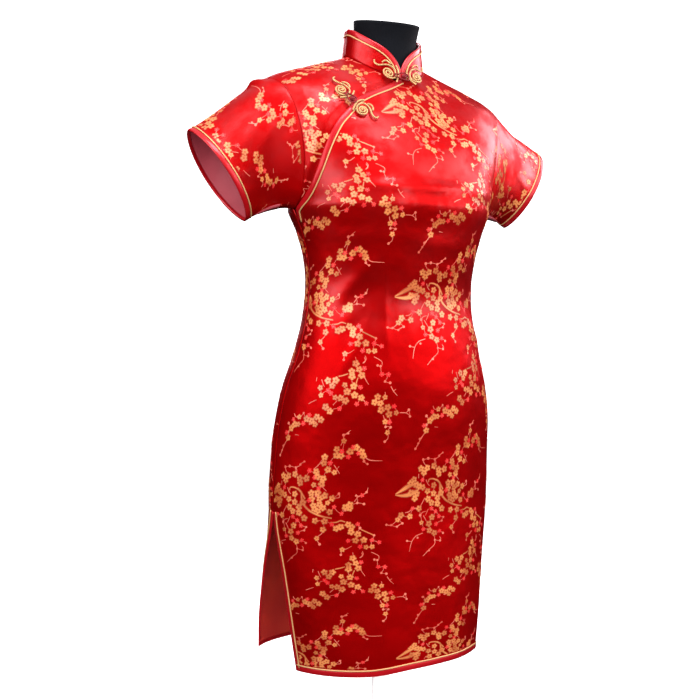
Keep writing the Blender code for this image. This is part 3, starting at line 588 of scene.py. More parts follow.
def plug(net, **values):  # link values to the shader, BaseColor to Base Color and so on
    for name, value in values.items():
        socket = "".join(" " + letter if letter.isupper() else letter for letter in name).strip()
        net.tree.links.new(value.socket, net.tree.nodes["Principled BSDF"].inputs[socket])


satin = {
    "thread": (0.00045, 0.0032), "coatLow": 0.06, "coatHigh": 0.76, "dullBelow": 0.60, "glossyAbove": 0.67,
}


def satinMaterial(name, ground, shade, finish, crumple):  # glossier on the chest, in patches
    material, net = newMaterial(name, finish)
    place = net.place()
    threads = net.flat(*satin["thread"]).noise(1.0, 1.0, noise_dimensions="2D")
    cloud = place.noise(9.0, 3.0)
    waves = place.noise(26.0, 2.0, 0.45).bump(1.0, crumple)
    gloss = place.noise(17.0, 4.0, 0.6).between(0.38, 0.66)
    height = net.node("SeparateXYZ", values={0: place}, output=2)
    coat = satin["coatLow"] + (satin["coatHigh"] - satin["coatLow"]) * gloss
    plug(
        net,
        BaseColor=cloud.between(0.35, 0.68).colours(shade, ground),
        Roughness=finish["Roughness"] + 0.10 * (threads - 0.5) + 0.06 * (cloud - 0.5),
        Normal=threads.bump(0.35, 0.00008, Normal=waves),
        CoatWeight=coat * height.between(satin["dullBelow"], satin["glossyAbove"]),
    )
    return material


def threadMaterial(name, low, high, finish):
    material, net = newMaterial(name, finish)
    width, longer = 0.00035, 7
    threads = net.flat(width, width * longer).noise(1.0, 1.0, noise_dimensions="2D")
    spread = net.place().noise(48.0, 2.0)
    plug(
        net,
        BaseColor=(spread.between(0.36, 0.64) * 0.8 + threads * 0.2).colours(low, high),
        Roughness=finish["Roughness"] + 0.15 * (threads - 0.5),
        Normal=threads.bump(0.5, 0.00010),
    )
    return material


def cordMaterial(name, low, high, finish, pitch, depth):  # a fine rope's slanting strands, with painted shade in the grooves between them
    material, net = newMaterial(name, finish)
    strandsAndGrooveShade = net.node(
        "TexWave", {"wave_type": "BANDS", "bands_direction": "DIAGONAL"},
        {"Vector": net.flat(pitch, pitch), "Scale": 0.5, "Distortion": 0.6, "Detail": 1.0},
    )
    wear = net.place().noise(220.0, 1.0)
    # the grooves between the strands are painted darker, as painted shade; the wear noise varies the tone at
    # random
    colour = (strandsAndGrooveShade * 0.6 + wear * 0.4).between(0.15, 0.8).colours(low, high)
    plug(net, BaseColor=colour, Normal=strandsAndGrooveShade.bump(0.7, depth))
    return material


def liningMaterial():  # painted light and shade by height: brighter and redder down in the skirt, darker higher up about the chest and sleeves
    material, net = newMaterial("lining", {"Roughness": 0.60, "Specular IOR Level": 0.3})
    place = net.place()
    cloud, fine = place.noise(11.0, 3.0), place.noise(420.0, 1.0)
    shadedUpper = cloud.between(0.3, 0.7).colours((0.19, 0.022, 0.030), (0.25, 0.034, 0.044))
    litLower = cloud.between(0.3, 0.7).colours((0.36, 0.008, 0.003), (0.50, 0.024, 0.008))
    height = net.node("SeparateXYZ", values={0: place}, output=2)
    # painted shade and light: the lining is darkened higher up and brightened lower down
    colour = height.between(0.45, 0.75).colours(litLower, shadedUpper)
    plug(net, BaseColor=colour, Roughness=0.54 + 0.12 * fine, Normal=fine.bump(0.3, 0.0001))
    return material


def formClothMaterial():
    finish = {"Roughness": 0.8, "Metallic": 0.0, "Specular IOR Level": 0.15}
    material, net = newMaterial("black form cloth", finish)
    place = net.place()
    knit = net.node("TexVoronoi", {}, {"Vector": place, "Scale": 1400.0})
    soft = place.noise(18.0, 3.0)
    colour = soft.between(0.3, 0.7).colours((0.0014, 0.0020, 0.0032), (0.0028, 0.0036, 0.0052))
    plug(net, BaseColor=colour, Roughness=0.72 + 0.15 * soft, Normal=knit.bump(0.4, 0.0002))
    return material


def paintMaterial():
    material, net = newMaterial("white stand paint", {"Roughness": 0.35, "Metallic": 0.0, "Coat Weight": 0.2})
    place = net.place()
    peel, wear = place.noise(260.0, 2.0), place.noise(14.0, 4.0)
    colour = wear.between(0.3, 0.75).colours((0.88, 0.88, 0.87), (0.93, 0.93, 0.92))
    plug(net, BaseColor=colour, Roughness=0.30 + 0.12 * wear, Normal=peel.bump(0.25, 0.0001))
    return material


brocade = satinMaterial(
    "red brocade satin", (0.52, 0.0006, 0.0012), (0.42, 0.0003, 0.0006),
    {
        "Metallic": 0.78, "Roughness": 0.45, "IOR": 1.5, "Coat Roughness": 0.26, "Coat IOR": 1.55,
        "Coat Tint": (1, 0.95, 0.97), "Specular IOR Level": 0.15, "Specular Tint": (1, 0.6, 0.64),
    },
    0.0030,
)
bindingSatin = satinMaterial(
    "red binding satin", (0.46, 0.004, 0.009), (0.38, 0.002, 0.006), {"Metallic": 0.4, "Roughness": 0.32},
    0.0004,
)
goldThread = threadMaterial(
    "gold thread", (0.36, 0.058, 0.008), (0.60, 0.200, 0.050),
    {"Metallic": 0.0, "Roughness": 0.36, "IOR": 2.4, "Specular Tint": (1, 0.86, 0.66)},
)
outlineThread = threadMaterial(
    "dark outline thread", (0.27, 0.036, 0.012), (0.38, 0.068, 0.026), {"Metallic": 0.2, "Roughness": 0.42}
)
redThread = threadMaterial(
    "light red thread", (0.72, 0.014, 0.018), (0.84, 0.052, 0.046), {"Metallic": 0.4, "Roughness": 0.35}
)
twigThread = threadMaterial(
    "pink twig thread", (0.44, 0.050, 0.028), (0.58, 0.14, 0.09),
    {"Metallic": 0.0, "Roughness": 0.38, "IOR": 1.9, "Specular Tint": (1, 0.8, 0.7)},
)
goldPiping = cordMaterial(
    "gold piping", (0.52, 0.25, 0.085), (0.66, 0.42, 0.19), {"Metallic": 0.35, "Roughness": 0.34},
    0.0012, 0.0001,
)
goldCord = cordMaterial(
    "gold frog cord", (0.17, 0.055, 0.008), (0.76, 0.52, 0.23), {"Metallic": 0.5, "Roughness": 0.34},
    0.0016, 0.0003,
)
knotCord = cordMaterial(
    "dark red knot cord", (0.09, 0.001, 0.003), (0.22, 0.003, 0.007), {"Metallic": 0.2, "Roughness": 0.4},
    0.0010, 0.0002,
)
lining, formCloth, standPaint = liningMaterial(), formClothMaterial(), paintMaterial()
print("materials made")


# front, back and yoke
panels = {
    "frontColumns": 40, "neckColumns": 14, "skirtRows": 118, "chestRows": 66, "yokeRows": 44, "lapRows": 5,
    "bust": 0.86, "underFlap": 0.25,
}


def panelColumns():  # across, with a column at each corner of the neck
    armX, armReach = armholeTable(1.0)
    reach = math.acos(armReach)
    angles = np.linspace(math.pi / 2, 0, panels["neckColumns"] + 1)
    neck = np.arcsin(neckHalfWidth * np.sin(angles) * math.sin(reach) / armX) / reach
    half = np.concatenate([np.linspace(1, neck[0], panels["frontColumns"] + 1)[:-1], neck])
    return np.concatenate([-half, half[::-1][1:]]), neck


columns, neckColumns = panelColumns()


def panelLevels(tops):  # rows that run level up to the bust, then close in on each column's top
    bust = panels["bust"]
    skirt = np.linspace(0, bust, panels["skirtRows"] + 1)[:-1]
    shares = np.linspace(0, 1, panels["chestRows"] + 1)
    return np.concatenate([np.repeat(skirt[:, None], len(tops), 1), bust + (tops - bust) * shares[:, None]])


frontCloth = FlatCloth(bodyFront, 0.0, -1, 1, 1.9999)
backCloth = FlatCloth(bodyBack, 0.0, -1, 1, 1.9999)


def flatPairs(cloth, offsets, levels, mirror=1):
    right, up = cloth.flatOf(offsets.ravel(), levels.ravel())
    return np.stack([right * mirror, up], axis=-1).reshape(*offsets.shape, 2)


def panelPiece(name, face, place, acrosses, levels):  # the back's cloth reads from its own right
    acrosses, levels = np.broadcast_arrays(acrosses, levels)
    flats = flatPairs(frontCloth if face == front else backCloth, acrosses, levels, -face)
    shape = netOf(place(acrosses, levels), flats)
    piece = finishMesh(name + "_panel", shape, [brocade, lining], "brocade", name)
    wall(piece, clothThickness, lining=True)
    return piece


def yokeLevels(acrosses):  # from under the flap up to the neck and the shoulder
    cut, top = flapLevel(acrosses), neckLevel(front, acrosses)
    lapped = lambda level: yoke["lap"] - fromFlap(bodyPoint(front, acrosses, level))
    under = solve(lapped, cut - panels["underFlap"], cut)
    low = np.linspace(0, 1, panels["lapRows"] + 1)[:-1, None]
    high = np.linspace(0, 1, panels["yokeRows"] + 1)[:, None]
    return np.concatenate([under + (cut - under) * low, cut + (top - cut) * high])


backColumns, yokeColumns = columns[::-1], columns[columns < 1e-9]
frontPanel = panelPiece("front", front, bodyFront, columns, panelLevels(frontTop(columns)))
backPanel = panelPiece("back", back, bodyBack, backColumns, panelLevels(neckLevel(back, backColumns)))
yokePanel = panelPiece("yoke", front, yokePoint, yokeColumns, yokeLevels(yokeColumns))
print("panels made")


# sleeves, whose seams are turned in behind the body panels
sleeveNet = {
    "around": 88, "along": 36, "turnedIn": 0.004, "pulledIn": 0.0024, "towards": (0, shoulderY, 0.93),
    "turnedShare": 0.03,
}
sleeveCloths, sleevePanels = {}, {}
for name in cuffs:
    side = cuffs[name][0]
    sleeveCloths[name] = FlatCloth(lambda a, b: sleevePoint(name, a, b), 0.5, 0.0, 1.0, 1, 120)
    order = np.linspace(0, 1, sleeveNet["around"] + 1)[::-side]
    turns, shares = np.broadcast_arrays(order, np.linspace(0, 1, sleeveNet["along"] + 1)[:, None])
    seam, outward = armholePoint(side, order % 1.0)
    inward = unit(np.array(sleeveNet["towards"]) - seam)
    tucked = seam - outward * sleeveNet["turnedIn"] + inward * sleeveNet["pulledIn"]
    points = np.concatenate([tucked[None], sleevePoint(name, turns % 1.0, shares)])
    turns = np.concatenate([turns[:1], turns])
    shares = np.concatenate([shares[:1] - sleeveNet["turnedShare"], shares])
    shape = netOf(points, flatPairs(sleeveCloths[name], turns, shares), wrap=True)
    piece = finishMesh("sleeve_" + name + "_panel", shape, [brocade, lining], "brocade", "sleeve_" + name)
    wall(piece, clothThickness, lining=True, even=False)
    sleevePanels[name] = piece
print("sleeves made")


# collar: thickness, lean inwards for its height, rows and the columns between its two ends
collar = {"thickness": 0.0018, "lean": 0.10, "rows": 12, "columns": 94}
# distance from the front end: the collar's height
collarTable = Table(
    (0.0000, 0.0130), (0.0025, 0.0190), (0.0055, 0.0245), (0.0110, 0.0310), (0.0200, 0.0365),
    (0.0360, 0.0395), (0.0800, 0.0400),
)
# distances of the net's columns at each end
endStops = np.array([0.00015, 0.0012, 0.0025, 0.004, 0.0055, 0.008, 0.011, 0.0155, 0.020])


def neckLine():  # from the front round the wearer's left side and the back
    neck = neckColumns[::-1]
    behind = np.concatenate([neckColumns[1:], -neck[1:-1]])
    parts = ((front, neck), (back, behind), (front, -neckColumns))
    return np.concatenate([bodyPoint(face, across, neckLevel(face, across)) for face, across in parts])


neckEdge = neckLine()
neckStops = runOf(neckEdge)
neckLength = neckStops[-1]
neckMiddle = (neckFrontY + neckBackY) / 2


def collarHeight(distance):
    return collarTable(np.minimum(distance, neckLength - distance))[0]


def collarPoint(distance, height, out=0.0):
    distance, height = numbers(distance, height)
    i = np.clip(np.searchsorted(neckStops, distance, "right") - 1, 0, len(neckEdge) - 2)
    share = ((distance - neckStops[i]) / (neckStops[i + 1] - neckStops[i]))[..., None]
    foot = neckEdge[i] * (1 - share) + neckEdge[i + 1] * share
    inward = unit(np.stack([-foot[..., 0], neckMiddle - foot[..., 1], foot[..., 0] * 0], axis=-1))
    lift = np.stack([height * 0, height * 0, seamGap + height], axis=-1)
    return foot + inward * (collar["lean"] * height - out)[..., None] + lift


between = np.linspace(endStops[-1], neckLength - endStops[-1], collar["columns"] + 2)[1:-1]
collarStops = np.concatenate([endStops, between, neckLength - endStops[::-1]])
heights = collarHeight(collarStops) * np.linspace(0, 1, collar["rows"] + 1)[:, None]
distances = np.broadcast_to(collarStops, heights.shape)
shape = netOf(collarPoint(distances, heights), np.stack([distances, heights], axis=-1))
collarPanel = finishMesh("collar_panel", shape, [brocade, lining], "brocade", "collar")
wall(collarPanel, collar["thickness"], lining=True)
print("collar made")


# bindings and pipings, as profiles in and out from each edge, in millimetres
bindingProfile = [
    (7.2, 0.08), (6.9, 0.40), (5.9, 0.66), (4.4, 0.86), (2.8, 0.92), (1.3, 0.84), (0.2, 0.52), (-0.35, 0.0),
    (-0.45, -0.7), (-0.2, -1.4), (0.6, -1.85), (2.2, -2.05), (4.2, -1.95), (4.9, -1.55), (4.7, -1.28),
    (0.15, -1.28), (0.15, 0.02), (4.0, 0.02),
]
piping = {"in": 8.35, "out": 0.55, "halfWidth": 0.98, "halfHeight": 0.95, "sides": 8}
turns = turnsOf(piping["sides"])
pipingProfile = np.stack([
    piping["in"] - piping["halfWidth"] * np.cos(turns), piping["out"] + piping["halfHeight"] * np.sin(turns),
], axis=-1)
trimKinds = (
    ("binding", np.array(bindingProfile), bindingSatin, "satin_binding"),
    ("piping", pipingProfile, goldPiping, "gold_cord"),
)


def surfaceSteps(place, spots, gap):  # how the surface's two numbers change over a small step in space
    a, b = spots[..., 0], spots[..., 1]
    h = 1e-3
    alongA = (place(a + h, b) - place(a - h, b)) / (2 * h)
    alongB = (place(a, b + h) - place(a, b - h)) / (2 * h)
    aa, ab, bb = (alongA**2).sum(-1), (alongA * alongB).sum(-1), (alongB**2).sum(-1)
    ra, rb = (alongA * gap).sum(-1), (alongB * gap).sum(-1)
    steps = np.stack([ra * bb - rb * ab, rb * aa - ra * ab], axis=-1)
    return steps / (aa * bb - ab * ab)[..., None], np.cross(alongA, alongB)


def edgeInwards(place, line, inside, closed):  # the edge's points, and the way inwards from each of them
    points = place(line[:, 0], line[:, 1])
    nudge, stride = 0.002, 0.05  # shares of the way to the inside, for the normal and to tell the sides apart
    near = line + (np.array(inside) - line) * nudge
    normal = unit(surfaceSteps(place, near, points * 0)[1])
    ahead = np.roll(points, -1, 0) - points
    if not closed:
        ahead[-1] = ahead[-2]
    behind = np.roll(ahead, 1, 0)
    if not closed:
        behind[0] = ahead[0]
    first, second = unit(np.cross(normal, behind)), unit(np.cross(normal, ahead))
    inward = (first + second) / (1 + (first * second).sum(-1))[:, None]
    middle = len(line) // 2
    further = line[middle] + (np.array(inside) - line[middle]) * stride
    if (place(further[0], further[1]) - points[middle]) @ inward[middle] < 0:
        inward = -inward
    return points, inward


def trimEdge(name, place, line, inside, node, closed=False, scale=1.0):
    line = np.array(line, float)
    points, inward = edgeInwards(place, line, inside, closed)
    made = []
    for kind, profile, material, slotName in trimKinds:
        inwards, outs = profile[:, 0] / 1000, profile[:, 1] / 1000 * scale
        aims = points[:, None, :] + inward[:, None, :] * inwards[None, :, None]
        spots = np.repeat(line[:, None, :], len(inwards), 1)
        for share in (0.25, 0.5, 0.75, 1.0, 1.0):  # walks in over the surface to each point of the profile
            goal = points[:, None, :] * (1 - share) + aims * share
            spots = spots + surfaceSteps(place, spots, goal - place(spots[..., 0], spots[..., 1]))[0]
        rings = place(spots[..., 0], spots[..., 1], np.broadcast_to(outs, spots.shape[:2]))
        pieceName = name + "_" + kind + "_trim"
        made.append(tube(pieceName, rings, material, slotName, node + "_" + kind, closed))
    return made


edgeSteps = {"slit": 60, "hem": 120, "flap": 150, "cuff": 120}


def hemLine(face):  # down one slit, along the hem and up the other slit
    rise = np.linspace(slitTop / underarm, 0, edgeSteps["slit"])
    along = np.linspace(-1, 1, edgeSteps["hem"])[1:-1]
    pairs = [(face, level) for level in rise] + [(-face * x, 0.0) for x in along]
    return np.array(pairs + [(-face, level) for level in rise[::-1]])


flapAcross = np.linspace(-0.0005, -1, edgeSteps["flap"])
flapLine = np.stack([flapAcross, flapLevel(flapAcross)], axis=-1)
cuffTurns = np.arange(edgeSteps["cuff"]) / edgeSteps["cuff"]
cuffLine = np.stack([cuffTurns, np.ones(len(cuffTurns))], axis=-1)
trims = {
    "front_hem": trimEdge("front_hem", bodyFront, hemLine(front), (0, 0.5), "front_hem"),
    "back_hem": trimEdge("back_hem", bodyBack, hemLine(back), (0, 0.5), "back_hem"),
    "flap": trimEdge("flap", bodyFront, flapLine, (-0.5, 0.5), "flap"),
}
for name in cuffs:
    node, middle = "sleeve_" + name, (0.5, 0.5)
    trims[name] = trimEdge("cuff_" + name, onSleeve(name), cuffLine, middle, node, closed=True)
endShares = np.array([0.02, 0.3, 0.6, 0.85])  # up the collar's front ends
rim = [(endStops[0], collarHeight(0.0) * share) for share in endShares]
rim += [(stop, collarHeight(stop)) for stop in collarStops]
rim += [(neckLength - endStops[0], collarHeight(0.0) * share) for share in endShares[::-1]]
trims["collar"] = trimEdge("collar", collarPoint, rim, (neckLength / 2, 0.005), "collar", scale=1.1)
print("bindings and pipings made")


# woven sprays of plum blossom, charted over one repeat of the flat cloth in millimetres
spray = {
    "blossoms": [
        (37, 32), (42, 26), (47, 32), (58, 34), (66, 28), (67, 22), (76, 28), (27, 18), (31, 10), (32, -2),
        (41, 6), (49, 0), (59, 7), (59, -4), (72, -5), (66, -11), (50, -11), (56, -17), (66, -19),
        (74, -27), (36, -23), (22, -33), (9, -30), (57, -38), (52, -47), (53, -57), (61, -62), (90, -31),
        (103, -32), (101, -44), (87, -9), (96, -8), (94, -17), (110, -19), (113, 0), (131, -13), (119, -43),
        (125, -41), (135, -38), (140, -42), (139, -49), (148, -53), (145, -62), (156, -62), (137, -10),
        (137, -15), (90, 37), (100, 48), (106, 39), (101, 56), (123, 57), (153, 55), (141, -89), (145, -97),
        (148, -105), (135, -99), (135, -106), (113, -110), (102, -110), (108, -117), (128, -126),
        (137, -119), (138, -131), (147, -135), (126, -138), (119, -134), (99, -145), (105, -151),
        (87, -158), (93, -162), (-30, -135), (-34, -142), (-26, -144), (-25, -153), (-16, -150),
        (-14, -159), (117, 66), (117, 58), (-64, 62), (-56, 67), (-49, 61), (23, 0), (22, 13), (35, 8),
        (29, -8), (92, 30), (100, 27), (98, 20), (93, 8), (84, 8), (85, 0), (96, 0), (103, 4), (89, -14),
        (101, -13), (80, -163), (72, -160), (53, -167), (47, -172), (42, -185),
    ],
    "smallBlossoms": [
        (87, 19), (4, -36), (40, -44), (92, -57), (107, -6), (115, 35), (127, -75), (125, -117),
        (112, -133), (85, -168), (-20, -136), (-4, -158), (-15, -184), (-19, -169), (91, -119), (92, -129),
        (60, -157), (59, -167), (126, 77), (-32, -73), (-40, -73),
    ],
    "redBlossoms": [
        (40, 16), (80, 38), (88, 29), (81, -2), (116, -12), (126, -22), (113, -37), (26, -22), (56, -25),
        (69, -38), (64, -49), (43, -54), (70, -60), (63, -30), (153, 2), (148, -38), (135, -62), (109, 48),
        (133, 55), (80, 39), (152, -96), (-24, -105), (-15, -106), (102, -123), (106, -127), (146, -121),
        (154, -143), (141, -143), (118, -148), (-7, -149), (-13, -170), (124, 63), (151, -72), (-32, -63),
        (-22, -67), (-60, 68), (-53, 59), (94, 14), (76, -155), (67, -166), (50, -160), (38, -178),
    ],
    "buds": [
        (18, -69), (62, -73), (76, -64), (40, 44), (48, 45), (59, 43), (66, 47), (72, 51), (100, 17),
        (91, 4), (122, 6), (38, -33), (-12, -42), (-5, -43), (11, -42), (3, -46), (74, -45), (77, -40),
        (34, -66), (52, -88), (71, -75), (96, -66), (145, 2), (147, -8), (131, -17), (-40, 6), (156, -10),
        (151, -44), (-29, -56), (154, 48), (-40, 44), (125, -83), (-29, -93), (-25, -94), (-20, -115),
        (-13, -117), (41, -165), (42, -177), (67, -152), (14, -155), (16, -164), (-11, -177), (-18, -176),
        (-18, 73), (131, -182), (125, -184), (77, -167), (31, -202), (27, -209), (33, -196),
    ],
    "twigs": [
        [(40, 44), (41, 40), (45, 35)], [(60, 35), (61, 39), (59, 43), (64, 45), (67, 48), (72, 51)],
        [(95, 17), (96, 9), (94, 6), (91, 4)], [(98, 17), (105, 10)], [(122, 6), (123, 1), (117, 0)],
        [(38, -33), (42, -29), (48, -28)], [(43, -34), (46, -39), (48, -43)],
        [(51, -25), (48, -31), (46, -34)], [(-12, -42), (-5, -43), (3, -37), (9, -32)],
        [(3, -46), (8, -43), (11, -42)], [(15, -27), (21, -26), (26, -22), (33, -22)],
        [(45, -9), (40, -17), (37, -22)], [(42, -60), (32, -63), (25, -71), (21, -86)],
        [(25, -71), (18, -69)], [(62, -74), (61, -80), (52, -87), (42, -96)],
        [(70, -69), (72, -72), (70, -76)], [(91, -56), (99, -50), (101, -45)],
        [(92, -58), (94, -63), (97, -67)], [(34, 25), (34, 19)], [(46, 16), (49, 10), (52, 7)],
        [(127, -17), (132, -16), (138, -13)], [(143, -6), (147, 0), (145, 4)],
        [(147, 0), (153, 2), (159, 6), (161, 12)], [(127, -75), (133, -74), (140, -70)],
        [(125, -83), (126, -76)], [(153, -81), (154, -86), (151, -89)], [(114, 45), (118, 39), (122, 33)],
        [(121, 43), (118, 39)], [(154, 53), (154, 48), (159, 43)], [(86, 40), (93, 46), (97, 52)],
        [(141, -80), (142, -87)], [(154, -79), (155, -84), (150, -89)],
        [(-33, -81), (-28, -84), (-23, -88), (-23, -93)], [(151, -107), (154, -113), (157, -118)],
        [(93, -108), (95, -114), (97, -118)], [(86, -105), (85, -110)],
        [(-12, -122), (-8, -129), (-3, -135)], [(-9, -129), (-5, -126)],
        [(74, -140), (80, -137), (86, -135)], [(109, -143), (112, -140), (115, -137)],
        [(51, -152), (53, -156), (58, -158)], [(55, -181), (61, -182)], [(1, -158), (10, -159), (17, -164)],
        [(10, -159), (14, -155)], [(-22, -160), (-20, -166), (-19, -169)], [(-20, -129), (-19, -135)],
        [(-18, 73), (-14, 77), (-14, 84)], [(122, 71), (125, 78), (126, 84), (134, 91)],
        [(155, 54), (162, 49), (179, 47)], [(149, -137), (154, -143)],
        [(42, -185), (36, -194), (31, -202), (26, -211)],
    ],
    "boughs": [
        [(0, 0, 1.0), (8, 3.8, 4.6), (16, 8, 7.2), (24, 11, 6.0), (29, 11, 3.0)],
        [(0, -1, 1.0), (9, -2.6, 4.4), (18, -2.6, 7.0), (27, 0, 7.2), (34, 3, 3.0)],
        [(50, 12, 1.2), (51, 16, 1.8), (58, 16, 2.2), (66, 12, 2.6), (71, 6, 2.8), (75, 0, 2.4)],
        [
            (63, 15, 2.4), (69, 9, 3.2), (70, 1, 3.4), (72, -6, 3.6), (80, -15, 3.4), (90, -21, 3.0),
            (100, -25, 2.6), (113, -28, 2.0),
        ],
        [(69, -2, 2.0), (67, -10, 2.4), (66, -18, 2.0)],
        [(111, -34, 1.4), (119, -34, 1.8), (125, -32, 1.8), (131, -34, 1.4)],
        [(152, -46, 1.2), (161, -51, 1.6), (170, -56, 1.4)],
        [(117, -105, 1.6), (123, -104, 1.8), (130, -102, 1.4)],
        [(138, -123, 1.0), (141, -113, 1.4), (143, -108, 1.2)],
    ],
}
# one repeat's sizes, its drop across the cloth and its middle on the front, all in millimetres, how
# the repeats close up down the skirt, which of them are laid, and the longest thin branch; then in
# metres the threads' relief, the height that the front's pattern leans from, and how far it keeps
# from the bound edges
repeat = {
    "across": 199.0, "up": 269.0, "drop": 0.05, "origin": (36.7, 236.0), "squeeze": 0.0011,
    "columns": (-3, 3), "rows": (-1, 4), "branch": 14.5, "relief": 0.0003, "leanFrom": 0.66, "clear": 0.0098,
}
# sizes of the blossoms and, as shares of them, their petals' reach and radius and their hearts
blossom = {
    "large": 5.1, "small": 4.0, "red": 3.9, "bud": 1.8, "stretch": (0.94, 1.07), "petals": 5,
    "lobes": (0.92, 0.13), "reach": 0.53, "petal": 0.37, "squash": 0.86, "heart": 0.17,
    "budStretch": (0.8, 1.15), "outlineSides": 20, "petalSides": 7, "heartSides": 6,
}
# widths of the strokes in millimetres, or as shares of the boughs' own, their steps and their bend
strokes = {
    "branch": [0.70, 0.60, 0.60], "twig": 1.0, "twigEnd": 0.6, "bough": 0.58, "outline": 0.85, "edge": 0.7,
    "step": 1.6, "bend": 0.12,
}
rises = {
    "outline": 0.00020, "petal": 0.00036, "heart": 0.00046, "twig": 0.00024, "bough": 0.00030,
    "branch": 0.00016,
}


def addDisc(shape, x, y, radius, sides, rise, turn=0.0, squash=1.0, fan=False):
    place = Matrix.Translation((x, y, rise)) @ Matrix.Rotation(turn, 4, "Z")
    return bmesh.ops.create_circle(
        shape, cap_ends=True, cap_tris=fan, radius=radius, segments=sides,
        matrix=place @ Matrix.Diagonal((1, squash, 1, 1)),
    )["verts"]


def addBlossom(parts, gold, x, y, size, dice):
    start = dice.uniform(0, 2 * math.pi)
    size = size * dice.uniform(*blossom["stretch"])
    if gold:
        even, swing = blossom["lobes"]
        sides = blossom["outlineSides"]
        for vertex in addDisc(parts["outlines"], x, y, size, sides, rises["outline"], start, fan=True):
            right, up = vertex.co.x - x, vertex.co.y - y
            lobes = even + swing * math.cos(blossom["petals"] * (math.atan2(up, right) - start))
            vertex.co.x, vertex.co.y = x + right * lobes, y + up * lobes
    petals, hearts = ("petals", "outlines") if gold else ("redPetals", "twigs")
    radius, reach, sides = size * blossom["petal"], size * blossom["reach"], blossom["petalSides"]
    for i in range(blossom["petals"]):
        angle = start + i * 2 * math.pi / blossom["petals"]
        petalX, petalY = x + reach * math.cos(angle), y + reach * math.sin(angle)
        addDisc(parts[petals], petalX, petalY, radius, sides, rises["petal"], angle, blossom["squash"])
    addDisc(parts[hearts], x, y, size * blossom["heart"], blossom["heartSides"], rises["heart"], start)


def addStroke(shape, line, widths, rise):  # a flat stroke along the line
    line = np.array(line, float)
    meanStep = np.linalg.norm(np.diff(line, axis=0), axis=-1).mean()
    perStep = max(2, int(round(meanStep / strokes["step"])))
    smooth = smoothLine(np.column_stack([line, widths]), perStep)
    ahead = unit(np.gradient(smooth[:, :2], axis=0))
    side = np.stack([-ahead[:, 1], ahead[:, 0]], axis=-1) * smooth[:, 2:3] / 2
    made = bmesh.ops.create_grid(shape, x_segments=1, y_segments=len(smooth) - 1, size=1)["verts"]
    places = np.stack([smooth[:, :2] + side, smooth[:, :2] - side], axis=1).reshape(-1, 2)
    for vertex, place in zip(made, places):
        vertex.co = (*place, rise)


def branches(spots, dice):  # thin twigs that join each blossom to its nearest neighbour
    spots = np.array(spots, float)
    joined, free = [0], list(range(1, len(spots)))
    lines = []
    while free:
        gaps = np.linalg.norm(spots[free][:, None] - spots[joined][None], axis=-1)
        i, j = np.unravel_index(gaps.argmin(), gaps.shape)
        start, end = spots[joined[j]], spots[free[i]]
        if gaps[i, j] < repeat["branch"]:
            right, up = end - start
            bend = dice.uniform(-strokes["bend"], strokes["bend"])
            lines.append([start, (start + end) / 2 + bend * np.array([-up, right]), end])
        joined.append(free.pop(i))
    return lines


def sprayTile():
    dice = random.Random(11)
    parts = {name: bmesh.new() for name in ("petals", "outlines", "redPetals", "twigs", "boughs")}
    flowers, twigs = ("blossoms", "smallBlossoms", "redBlossoms"), parts["twigs"]
    for key, size in zip(flowers, ("large", "small", "red")):
        for x, y in spray[key]:
            addBlossom(parts, size != "red", x, y, blossom[size], dice)
    for line in branches(sum((spray[key] for key in flowers), []) + spray["buds"], dice):
        addStroke(twigs, line, strokes["branch"], rises["branch"])
    for x, y in spray["buds"]:
        radius = blossom["bud"] * dice.uniform(*blossom["budStretch"])
        addDisc(twigs, x, y, radius, blossom["petalSides"], rises["twig"], dice.random())
    for line in spray["twigs"]:
        addStroke(twigs, line, [strokes["twig"]] * (len(line) - 1) + [strokes["twigEnd"]], rises["twig"])
    for line in spray["boughs"]:
        rows = np.array(line, float)
        outlineWidths = rows[:, 2] * strokes["outline"] + strokes["edge"]
        addStroke(parts["outlines"], rows[:, :2], outlineWidths, rises["outline"])
        addStroke(parts["boughs"], rows[:, :2], rows[:, 2] * strokes["bough"], rises["bough"])
    return parts


tileMeshes = {name: meshOf("tile_" + name, shape) for name, shape in sprayTile().items()}
threadOf = {
    "petals": goldThread, "outlines": outlineThread, "redPetals": redThread, "twigs": twigThread,
    "boughs": goldThread,
}


def toFlat(x, y, column, row):  # from the repeat's millimetres to the flat cloth's metres
    (originX, originY), squeeze = repeat["origin"], repeat["squeeze"]
    x = x + repeat["across"] * column
    height = y + originY + repeat["drop"] * x + repeat["up"] * row
    under = (np.sqrt(1 + 4 * squeeze * np.maximum(originY - height, 0)) - 1) / (2 * squeeze)
    height = np.where(height < originY, originY - under, height)
    return (x - originX) / 1000, height / 1000


def repeatsOn(cloth, source, shift, mirror, lean):  # the repeats of one part that reach the cloth
    points = np.array([vertex.co[:] for vertex in source.vertices])
    shape, flats = bmesh.new(), []
    for column in range(*repeat["columns"]):
        for row in range(*repeat["rows"]):
            right, up = toFlat(points[:, 0], points[:, 1], column, row)
            right, up = (right + shift[0]) * mirror, up + shift[1]
            right = right + lean * np.maximum(up - repeat["leanFrom"], 0)
            if cloth.placeOf(right, up)[2].any():
                shape.from_mesh(source)
                flats.append(np.stack([right, up, points[:, 2]], axis=-1))
    return shape, np.concatenate(flats)


